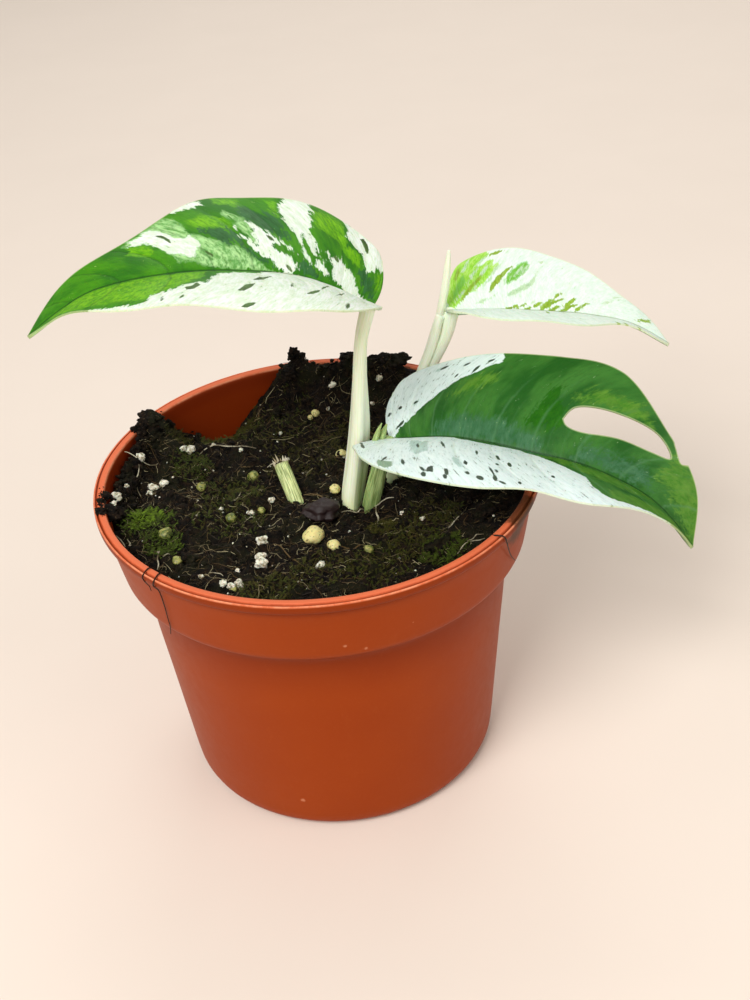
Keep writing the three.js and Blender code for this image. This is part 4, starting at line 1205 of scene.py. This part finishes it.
def leaf_finish(name, ground, tones, veins, flecks, line, gloss=0.45):
    """Leaf skin. The ground colours are painted over tone by tone: each is its name, its two colours, how
    far its border frays along the veins, how soft it is and how finely its two colours are mottled.
    Flecks are the colour and the amount of tiny marks on the white, and the same on the green."""
    leaf = Finish(name, ground[0], roughness=gloss, specular_ior_level=0.16,
                  subsurface_weight=0.08, subsurface_scale=0.0012)
    skin = leaf.put("UVMap", uv_map="veins").outputs["UV"]
    flow, streak = leaf.stretched((0.09, 0.0108, 1), skin), leaf.stretched((0.09, 0.0062, 1), skin)
    fray = leaf.plus(leaf.cloud(1.7, 4, 0.65, 0.4, flow), -0.5)
    thread = leaf.plus(leaf.cloud(0.55, 4, 0.7, where=streak), -0.5)
    broad = leaf.cloud(6, 3, 0.6, where=flow)
    rough = leaf.plus(fray, thread)
    grain = leaf.plus(leaf.times(rough, 0.7), 0.5)
    leaf.paint(leaf.band(leaf.plus(broad, leaf.times(thread, 0.25)), 0.38, 0.62), ground[1])
    for tone, first, second, ragged, soft, mottled in tones:
        extra = FINE_EXTRA if tone in FINE_TONES else 0
        depth = leaf.plus(leaf.kept(tone), leaf.times(fray, ragged * 2.6), leaf.times(thread, ragged * 2))
        share = leaf.band(depth, -soft - extra, soft - extra)
        leaf.paint(share, leaf.mixed(leaf.band(grain, 0.5 - mottled, 0.5 + mottled), first, second))
        if tone == "white":
            pale = share

    row = leaf.plus(leaf.put("SeparateXYZ", {"Vector": skin}).outputs["X"], leaf.times(fray, 0.012))
    lines = 0.0
    for number, width, weight in VEIN_KINDS:
        ridge = leaf.maths("ABSOLUTE", leaf.maths("SINE", leaf.times(row, math.pi * veins * number)))
        lines = leaf.plus(lines, leaf.times(leaf.band(ridge, width, 0), weight))
    from_midrib = leaf.kept("from_midrib")
    lines = leaf.times(lines, leaf.band(from_midrib, 26, 8))
    on_white = leaf.mixed(leaf.times(lines, 0.22), leaf.tone, (196, 214, 170))
    leaf.paint(leaf.band(leaf.plus(thread, leaf.times(broad, 0.2)), 0.06, 0.26), (10, 50, 14), 0.24)
    leaf.paint(lines, line, 0.5)
    leaf.paint(pale, on_white)

    speck = leaf.plus(thread, leaf.times(fray, 0.4), 0.5)
    for (tint, amount), there in zip(flecks, (pale, leaf.maths("SUBTRACT", 1, pale))):
        leaf.paint(leaf.times(leaf.band(speck, 0.8 - amount, 0.86 - amount), there), tint, 0.8)
    # Painted shade: a dark line in the crease along the midrib, greyer where the skin is white
    leaf.paint(leaf.band(from_midrib, 0.6, 0.15), leaf.mixed(pale, (18, 58, 14), (96, 112, 50)), 0.7)
    leaf.paint(leaf.band(leaf.kept("rim"), 0.4, 0.1), (206, 216, 160), 0.45)
    leaf.paint(leaf.kept("underside"), (190, 214, 160), 0.3)
    pores = leaf.times(leaf.cloud(0.5, 2), 0.2)
    leaf.bumped(leaf.plus(leaf.times(rough, 0.6), leaf.times(lines, -0.5), pores), 0.35, 0.25)
    return leaf


# The marbling of a blade: the outlines and flecks of each tone on both halves of the flat leaf
LEFT_TONES = {
    "lime": {
        "rear": (
            ((9, 15), (12, 17), (17, 18.5), (17, 25), (13, 25.5), (9.5, 23), (9, 19)),
            ((6, 10.5), (9, 13), (10, 15), (8, 16.5), (5, 15), (4, 11)),
            ((36, 15), (44, 15), (47, 18), (44, 20), (38, 19.5)),
            ((54.5, 7.5), (57, 6.8), (61.5, 8.5), (61.5, 11.5), (57.5, 11.2), (55.5, 9.5)),
            ((-1.8, 6), (-0.3, 6), (-0.5, 11), (-1.8, 12)), ((25, 20), (27, 23), (27, 26), (25, 26)),
            ((34, 24), (40, 25), (40, 27.5), (34, 27))),
        # On the front half this lime is painted light: the top-lit front is made a brighter green
        "front": (((44, 1.2), (60, 1.2), (84, 0.8), (80, 5), (72, 11), (60, 15), (52, 11), (46, 7)),)},
    "deep": {
        "rear": (
            ((28, 1.5), (31, 3), (34, 7), (36.5, 12), (37, 15), (35.5, 14), (33.5, 9.5), (31, 5),
             (28.5, 4)),
            ((36.5, 8), (39, 8), (41, 11), (44, 13), (44, 15), (39, 15), (36.5, 12)),
            ((23, 12), (26, 13.5), (29, 15), (32, 18), (34, 21), (33, 24), (29, 22), (26, 20), (24, 17)),
            ((0, 2), (2, 3), (4, 6), (5, 9), (3, 11.5), (1, 9)),
            ((15, 1), (20, 1), (21, 4), (19.5, 5), (17, 3)))},
    "mint": {
        "rear": (
            ((27.5, 0), (36, 0.3), (42, 1), (45, 2), (46, 3.2), (49, 3.8), (50, 3.2), (51, 5), (52.3, 7),
             (54.5, 9.5), (57, 11.8), (62.5, 12.2), (61, 14.5), (58, 16.3), (55, 18.5), (52.5, 20.5),
             (50.5, 20), (49, 18.5), (47.5, 16), (46.5, 13), (44, 12.5), (41.5, 11), (39.5, 10),
             (38.8, 8.5), (37.5, 8), (36, 9), (34.5, 7.5), (33, 5.5), (31.5, 4), (30, 2.5)),
            ((30.2, 8.8), (31.5, 9.8), (32.5, 12), (34.5, 14.5), (35.4, 16.8), (34.5, 18), (32.5, 17.5),
             (31.3, 15)),
            ((34.5, 17.5), (38.5, 20), (38, 22), (35.5, 20.5), (33, 18.5)))},
    "white": {
        "rear": (
            ((1, 0), (3.5, 1.5), (5, 3.5), (6.5, 6.5), (7.5, 8), (8.5, 7.5), (9.5, 10), (10.2, 11.2),
             (11, 10), (12.5, 9.5), (13.8, 10.8), (12.8, 8.5), (12.2, 6), (12.2, 3.5), (12, 2.5), (10, 1.8),
             (8.5, 0.8), (7, 0)),
            ((-1.9, 12.6), (-0.8, 13.6), (0.3, 11.3), (1.2, 11.6), (2, 10.6), (3.2, 11.7), (3.8, 13.8),
             (4.3, 15.3), (6, 17), (8.6, 19.3), (9.2, 21), (8.5, 22.7), (9.5, 25.5), (6, 25), (-2, 21),
             (-4, 15)),
            ((14, 2.5), (17, 4.5), (17, 6.5), (15.8, 7), (14.5, 5.5), (13, 3.5)),
            ((14.2, 6.5), (15.5, 8.5), (14.8, 7.9)),
            ((17.5, 4.8), (18.8, 5.5), (19.4, 7.5), (19.8, 10), (21, 12.5), (21.6, 15), (22.4, 16.5),
             (23, 19), (24.5, 22), (24.7, 24), (24, 25.2), (22, 28), (17.3, 28), (17.5, 22.5), (17.4, 19.5),
             (18, 16.5), (18.2, 15.3), (17, 14), (16.3, 12), (15.2, 10.5), (16.2, 9.8), (17.2, 11),
             (16.8, 8.5), (17.6, 9), (18.8, 12), (19.7, 14.5), (20, 13), (19.7, 11), (19, 9.2),
             (18.3, 7.5)),
            ((21.5, 2), (23, 0.3), (24.5, 0), (26, 1.2), (27.2, 3), (28.5, 4.6), (30.3, 5.3), (31.5, 7),
             (32.5, 9), (33.8, 11.3), (35, 13.5), (36, 15), (35.6, 15.6), (33.6, 12.6), (31.8, 9.6),
             (30.3, 8.4), (30.8, 11.5), (31.4, 15), (32.5, 17.5), (30, 16), (28, 14), (26.3, 13),
             (25.3, 11.5), (24, 10), (25, 9.9), (26.5, 10), (26.8, 8.8), (25.5, 7.5), (23.8, 6.7),
             (22.5, 5), (21.8, 3.5)),
            ((21.2, 6.9), (22.5, 7.8), (23.3, 9.3), (22, 9)),
            ((46.3, 4.8), (49, 5.5), (51, 6.5), (53, 8.3), (55, 10), (57, 12), (61, 12), (60.5, 14),
             (57, 16.5), (55.5, 17), (54, 16), (52, 14.5), (50.5, 13), (48, 12), (46.5, 12.8), (45.3, 11),
             (44.5, 8.5), (45.5, 7)),
            ((42.5, 24.2), (50, 21.8), (51, 23), (45, 25.8), (43, 25.8))),
        "front": (
            ((-2, -1), (30, -1), (31, 2.2), (34, 2.6), (38, 3), (41, 3.2), (42.5, 5), (43.5, 7.5),
             (45, 9.8), (47.5, 9.7), (50, 10.8), (52.5, 12), (54.5, 12.6), (56.5, 12.4), (58, 13.2),
             (59, 15.4), (61.5, 16.2), (64, 15.7), (67, 15), (70, 13.4), (73, 11.9), (75, 14), (60, 24),
             (30, 32), (5, 25)),
        )},
    "dark": {
        "rear": (
            ((2.7, 17), (3.2, 18), (4, 20), (5, 21.2), (4, 21.8), (3, 20.5), (2.4, 18.5)),
            ((42, 4.5), (43.3, 6.7), (42, 5.5)),
            ((51.2, 10.5), (52.8, 13), (55, 14.5), (53, 14), (51.5, 12)), (23.6, 2, 0.8, 0.3, 60),
            (27.4, 11.8, 1, 0.35, 55), (11.4, 9.7, 0.7, 0.4, 50)),
        "front": (
            ((29, 6), (32, 6.5), (34, 9.5), (32.5, 9), (30.5, 7.3)),
            ((34, 12), (36, 13), (38.2, 16), (37, 16.3), (35, 14)),
            ((20, 16.3), (22.5, 17.8), (23.3, 19), (22.2, 19.3), (20.5, 17.8)),
            ((35.3, 22.5), (37, 22.5), (38.5, 23.6), (37.5, 24.2), (35.8, 23.5)),
            ((47, 10), (48, 11.8), (49.8, 12), (49.5, 13.6), (48, 13.3), (46.5, 11.5)),
            (15.4, 24.4, 1.2, 0.3, 70), (14.8, 15.4, 1.4, 0.15, 60), (25.8, 14, 1, 0.15, 75),
            (17.8, 12.4, 1.6, 0.12, 62), (51, 17, 0.6, 0.2, 60), (55.6, 16.5, 0.9, 0.2, 80))},
}
LEFT_VEINS = 11
left_blade = blade_piece("leaf_left", BLADE_LEFT, LEFT_TONES, quilted(LEFT_VEINS, depth=0.4, wave=0.5))
fit(left_blade, ["blade_left"], leaf_finish(
    "marbled_green_leaf", ground=((42, 108, 12), (68, 138, 12)), tones=(
        ("lime", (118, 182, 10), (80, 150, 2), 2.2, 0.5, 0.14),
        ("deep", (32, 82, 28), (54, 108, 54), 2.6, 0.4, 0.14),
        ("mint", (170, 214, 142), (96, 156, 72), 1.7, 0.4, 0.12),
        ("white", (232, 238, 230), (206, 224, 194), 1.7, 0.24, 0.14),
        ("dark", (50, 74, 30), (84, 116, 56), 0.3, 0.12, 0.2)),
    veins=LEFT_VEINS, flecks=(((96, 140, 60), 0.15), ((176, 220, 112), 0.13)),
    line=(24, 70, 12)))

UPPER_TONES = {
    "white": {
        "rear": (((-20, -20), (90, -20), (90, 40), (-20, 40)),),
        "front": (((-20, -20), (90, -20), (90, 40), (-20, 40)),)},
    "lime": {
        "rear": (
            ((0, 1), (1.5, 0.5), (3, 2.5), (5, 5), (7.5, 6.5), (9, 8), (10.5, 10), (12, 12.5), (13.5, 15),
             (13, 15.5), (11.5, 14), (12, 17), (11, 17), (9.5, 15.5), (8, 15), (8.5, 16.5), (10, 18),
             (11, 19.3), (9.5, 21), (4, 19), (1, 15), (-1, 12), (-1, 4)),
        )},
    "leafy": {
        "rear": (
            ((1.2, 3.5), (2.5, 5.5), (4, 8), (4.5, 10), (4, 12), (3, 11), (2, 8.5), (1.2, 6)),
            ((15.3, 8), (17, 9), (19, 10.5), (20.5, 12.5), (21.5, 14.5), (21, 16.5), (19.5, 15.5),
             (17.5, 14), (16, 12), (15.2, 10))),
        "front": (((0, 0), (2.5, 0), (3.5, 4), (2.6, 7), (1, 7)),)},
    "olive": {
        "rear": (
            ((11, 5.5), (12.5, 7.5), (14, 10), (15.5, 12.5), (17, 14.5), (16, 14), (14, 12), (12.3, 9.5),
             (11.3, 7.5)),
            ((14.5, 0), (16.5, 0), (18, 0.8), (18.7, 1.5), (17, 1)),
            ((24.8, 0.2), (26.5, 1), (28.3, 2.3), (30.5, 4), (31, 4.3), (29, 3.5), (27, 2.6), (25.5, 1.2)),
            ((30, 0), (32, 0.5), (33.5, 1.8), (34.8, 2.6), (33, 2.3), (31, 1)), (21.5, 0.5, 1, 0.3, 30),
            (32.4, 2.8, 1.3, 0.35, 50), (35, 1.3, 0.8, 0.3, 45), (28.6, 0.9, 1.5, 0.4, 35),
            (26.8, 2.6, 1.2, 0.3, 40), (33.6, 3.9, 0.9, 0.3, 50), (23.4, 1.5, 1, 0.3, 35),
            (36.6, 2.6, 0.8, 0.25, 40), (19.6, 1.2, 0.8, 0.25, 30), (29.6, 5.3, 0.8, 0.3, 50),
            (5.4, 6.4, 2.4, 0.35, 60), (2.2, 12.8, 1.8, 0.4, 75), (12.9, 19.5, 1.5, 0.4, 20),
            (7.8, 9.8, 1.3, 0.4, 55), (53.6, 2.9, 1.4, 0.35, 25)),
        "front": (
            (16.5, 2.4, 2.4, 0.5, 85), (26.5, 7.5, 1.4, 0.4, 80), (45, 9.6, 0.9, 0.4, 60),
            (47.4, 8.2, 0.9, 0.4, 60), (51.2, 6.4, 0.9, 0.35, 60))},
    "smoky": {
        "rear": (
            ((15.5, 3.8), (18, 5), (19.5, 6), (21.5, 7), (23, 9.5), (23.3, 11), (21.5, 9), (18.5, 7),
             (16, 5.5)),
            ((10, 2.5), (12, 4), (13.5, 5.5), (12.5, 4.8)), ((7.5, 2), (9.5, 2), (10.5, 3.5), (9, 3.3)),
            (9.4, 12.6, 2.4, 0.45, 60), (6.6, 12.2, 2.8, 0.4, 64), (10.8, 9.4, 1.8, 0.35, 54),
            (3.4, 5.4, 1.8, 0.3, 55), (4.4, 15.2, 2.2, 0.4, 68), (8.6, 16.8, 1.6, 0.4, 50),
            (12.6, 13.2, 1.6, 0.35, 60), (7.4, 7.6, 1.4, 0.3, 55), (18.4, 12.4, 2.2, 0.35, 55),
            (20.2, 13.2, 1.6, 0.3, 60), (17.2, 10.6, 1.3, 0.25, 50), (22.8, 10.5, 0.8, 0.3, 60),
            (24.7, 16.5, 0.5, 0.4, 0), (27, 13.5, 0.6, 0.3, 60), (22.4, 2.3, 1, 0.25, 50),
            (43, 5, 0.8, 0.2, 30), (45.5, 7.5, 0.7, 0.2, 30))},
}
UPPER_VEINS = 9
upper_blade = blade_piece(
    "leaf_upper_right", BLADE_UPPER_RIGHT, UPPER_TONES, quilted(UPPER_VEINS, depth=0.32, wave=0.4))
fit(upper_blade, ["blade_upper_right"], leaf_finish(
    "white_leaf_skin", ground=((222, 236, 224), (208, 226, 206)), tones=(
        ("white", (225, 237, 226), (208, 227, 208), 0, 1, 0.14),
        ("lime", (132, 196, 40), (172, 218, 98), 0.9, 0.3, 0.14),
        ("leafy", (104, 172, 40), (126, 190, 84), 0.8, 0.4, 0.2),
        ("smoky", (150, 186, 136), (190, 214, 176), 0.9, 0.35, 0.14),
        ("olive", (112, 142, 24), (146, 180, 62), 0.6, 0.16, 0.2)),
    veins=UPPER_VEINS, flecks=(((140, 176, 96), 0.14), ((226, 244, 190), 0.08)),
    line=(90, 140, 30), gloss=0.5))

LOWER_TONES = {
    "bright": {
        "rear": (
            ((35, 7), (43, 8), (44.5, 10), (44, 14), (42.5, 18), (43, 20), (40.5, 20), (39, 17), (37, 13),
             (35, 9)),
            (41.5, 8.6, 0.9, 0.3, 80))},
    "leafy": {
        "rear": (
            ((70, 6), (92, -1), (92, 4), (80, 12), (72, 14)),
            ((46, 17), (56, 17.5), (64, 17), (60, 21), (50, 21)),
            ((15, 13), (20, 15), (25, 19), (24, 21), (18, 18))),
        "front": (
            ((60, 12), (66, 10), (72, 8), (80, 4), (90, -1), (92, 4), (80, 9), (66, 17), (58, 19)),
            ((40, 3), (48, 6), (56, 9), (64, 8), (72, 3), (66, 1), (54, 2), (46, 1)))},
    # Painted sheen along the midrib: partly the leaf's own teal, partly a painted reflection
    "teal_sheen": {
        "rear": (
            ((12, 0), (40, 0), (40, 4), (28, 7), (18, 7), (12, 4)), ((48, 1), (70, 2), (68, 6), (52, 5))),
        "front": (((30, 0), (44, 0), (44, 3), (36, 2)),)},
    "white": {
        "rear": (
            ((1, 0), (2.4, 3.9), (6.9, 9.8), (11.7, 15.1), (16.4, 19), (20.8, 21.6), (23, 23.8),
             (25.5, 24.6), (26, 26.8), (25, 31), (-3, 31), (-8, 20), (-6, 5), (-2, 0)),
        ),
        "front": (
            ((-9, -1), (15, -1), (18, 1), (20, 2.3), (24.5, 3.2), (28, 2.8), (33, 2.2), (35, 2), (37, 3),
             (40, 3.5), (43, 5.5), (45, 6.8), (47.5, 8.2), (50, 9.8), (52.5, 10.8), (53.5, 13.5),
             (54.5, 16), (56.5, 18), (58.5, 18.6), (61, 18.2), (64, 17.2), (68, 15.2), (72, 12.9), (77, 9),
             (80, 12), (60, 30), (13, 36), (-9, 24)),
        )},
    "smoky": {
        "front": (
            ((8, 6), (12, 7), (13.5, 12), (14, 16), (12, 18), (10.5, 17), (9.5, 13), (8, 10)),
            ((20.5, 18), (22, 19.5), (23.5, 23), (22.5, 23.5), (21, 21), (20.3, 19))),
        "rear": ((5, 12.6, 1.1, 0.8, 40), (9.8, 24.2, 1.2, 0.7, 10))},
    "shadow": {
        "front": (((3.5, 23), (5.5, 23.5), (7.5, 24), (8.2, 27), (6.5, 27.8), (4.5, 26.5), (3.5, 24.5)),)},
    "dark": {
        "front": (
            ((23.1, 19), (24, 20), (24, 21.5), (23.2, 20.5)),
            ((17, 25), (17.5, 28), (16.3, 28), (16.2, 26)), (15.2, 27.2, 0.9, 0.25, 60),
            (16, 30, 1, 0.4, 80), (20.3, 26.8, 1.1, 0.3, 75), (20.4, 29.2, 0.8, 0.3, 75),
            (27.9, 26.6, 0.8, 0.6, 45), (31.3, 25.4, 1, 0.35, 80), (37.5, 24.6, 0.55, 0.35, 80),
            (10.2, 24.3, 1.2, 0.22, 70), (4.9, 22, 1, 0.2, 95), (24.8, 25.5, 0.5, 0.3, 70),
            (30, 22, 1.3, 0.15, 65), (31.2, 21.6, 0.6, 0.25, 65), (30.5, 12.4, 1, 0.25, 70),
            (33.8, 15.6, 0.9, 0.4, 75), (30.8, 17.3, 0.4, 0.3, 70), (16.6, 9.8, 1.8, 0.18, 70),
            (25.2, 12.6, 1, 0.2, 80), (10.7, 11.5, 1.2, 0.2, 75), (-4, 12, 1.4, 0.25, 65),
            (-5.5, 8.5, 1.2, 0.2, 60), (33.2, 26.6, 0.7, 0.3, 20), (45, 16.5, 0.5, 0.3, 70)),
        "rear": (
            (0.9, 11.5, 0.5, 0.4, 70), (2.1, 4.8, 1.1, 0.3, 60), (11.4, 24.6, 0.7, 0.25, 20),
            (19.8, 22.4, 0.8, 0.2, 60), (5.2, 12.8, 0.5, 0.3, 20), (15.4, 20.6, 0.5, 0.2, 60),
            (17.4, 24.5, 0.5, 0.2, 30), (23, 25.4, 0.5, 0.2, 30), (-1.8, 9, 0.5, 0.2, 80))},
}
LOWER_VEINS = 10
lower_blade = blade_piece(
    "leaf_lower_right", BLADE_LOWER_RIGHT, LOWER_TONES, quilted(LOWER_VEINS, depth=0.3, wave=0.4),
    openings=(LEAF_HOLE, LEAF_NOTCH))
fit(lower_blade, ["blade_lower_right"], leaf_finish(
    "deep_green_leaf_skin", ground=((34, 88, 26), (60, 115, 42)), tones=(
        ("teal_sheen", (44, 94, 54), (72, 118, 80), 3, 1.8, 0.2),
        ("leafy", (62, 118, 26), (94, 140, 46), 3, 1.3, 0.16),
        ("bright", (18, 80, 0), (40, 106, 4), 2.6, 0.5, 0.2),
        ("white", (226, 240, 236), (210, 227, 222), 0.6, 0.12, 0.14),
        ("smoky", (184, 210, 200), (168, 192, 182), 0.9, 0.4, 0.2),
        ("shadow", (124, 152, 124), (146, 170, 142), 0.4, 0.25, 0.2),
        ("dark", (26, 42, 28), (58, 76, 56), 0.2, 0.1, 0.2)),
    veins=LOWER_VEINS, flecks=(((78, 92, 58), 0.19), ((148, 186, 128), 0.13)),
    line=(84, 130, 84), gloss=0.34))

# Floor and light
# A plain pale floor, a broad soft light from the upper left, a weaker one from the right and one from
# behind.

LIGHTS = (
    ("key_light", (-450, -750, 1000), 600, 14), ("fill_light", (900, -500, 500), 900, 3),
    ("back_light", (200, 900, 900), 800, 4),
)
LIT_POINT = Vector((0, 0, 90))

select_only()
bpy.ops.mesh.primitive_plane_add(size=8, location=(0, 0, -0.2 * MM))
floor = bpy.context.object
floor.name = "floor"
floor_paint = Finish("pale_floor", (232, 218, 204), roughness=0.8)
floor_paint.paint(floor_paint.cloud(60, 2), (236, 222, 208))
floor_paint.dress(floor)

for name, place, size, power in LIGHTS:
    bpy.ops.object.light_add(type="AREA", location=Vector(place) * MM)
    light = bpy.context.object
    light.name = name
    light.data.energy = power
    light.data.size = size * MM
    light.rotation_euler = (LIT_POINT - Vector(place)).to_track_quat("-Z", "Y").to_euler()

world = bpy.data.worlds.new("studio")
world.use_nodes = True
world.node_tree.nodes["Background"].inputs["Color"].default_value = (1.0, 0.97, 0.93, 1)
world.node_tree.nodes["Background"].inputs["Strength"].default_value = 0.44
bpy.context.scene.world = world
bpy.context.scene.view_settings.view_transform = "Standard"
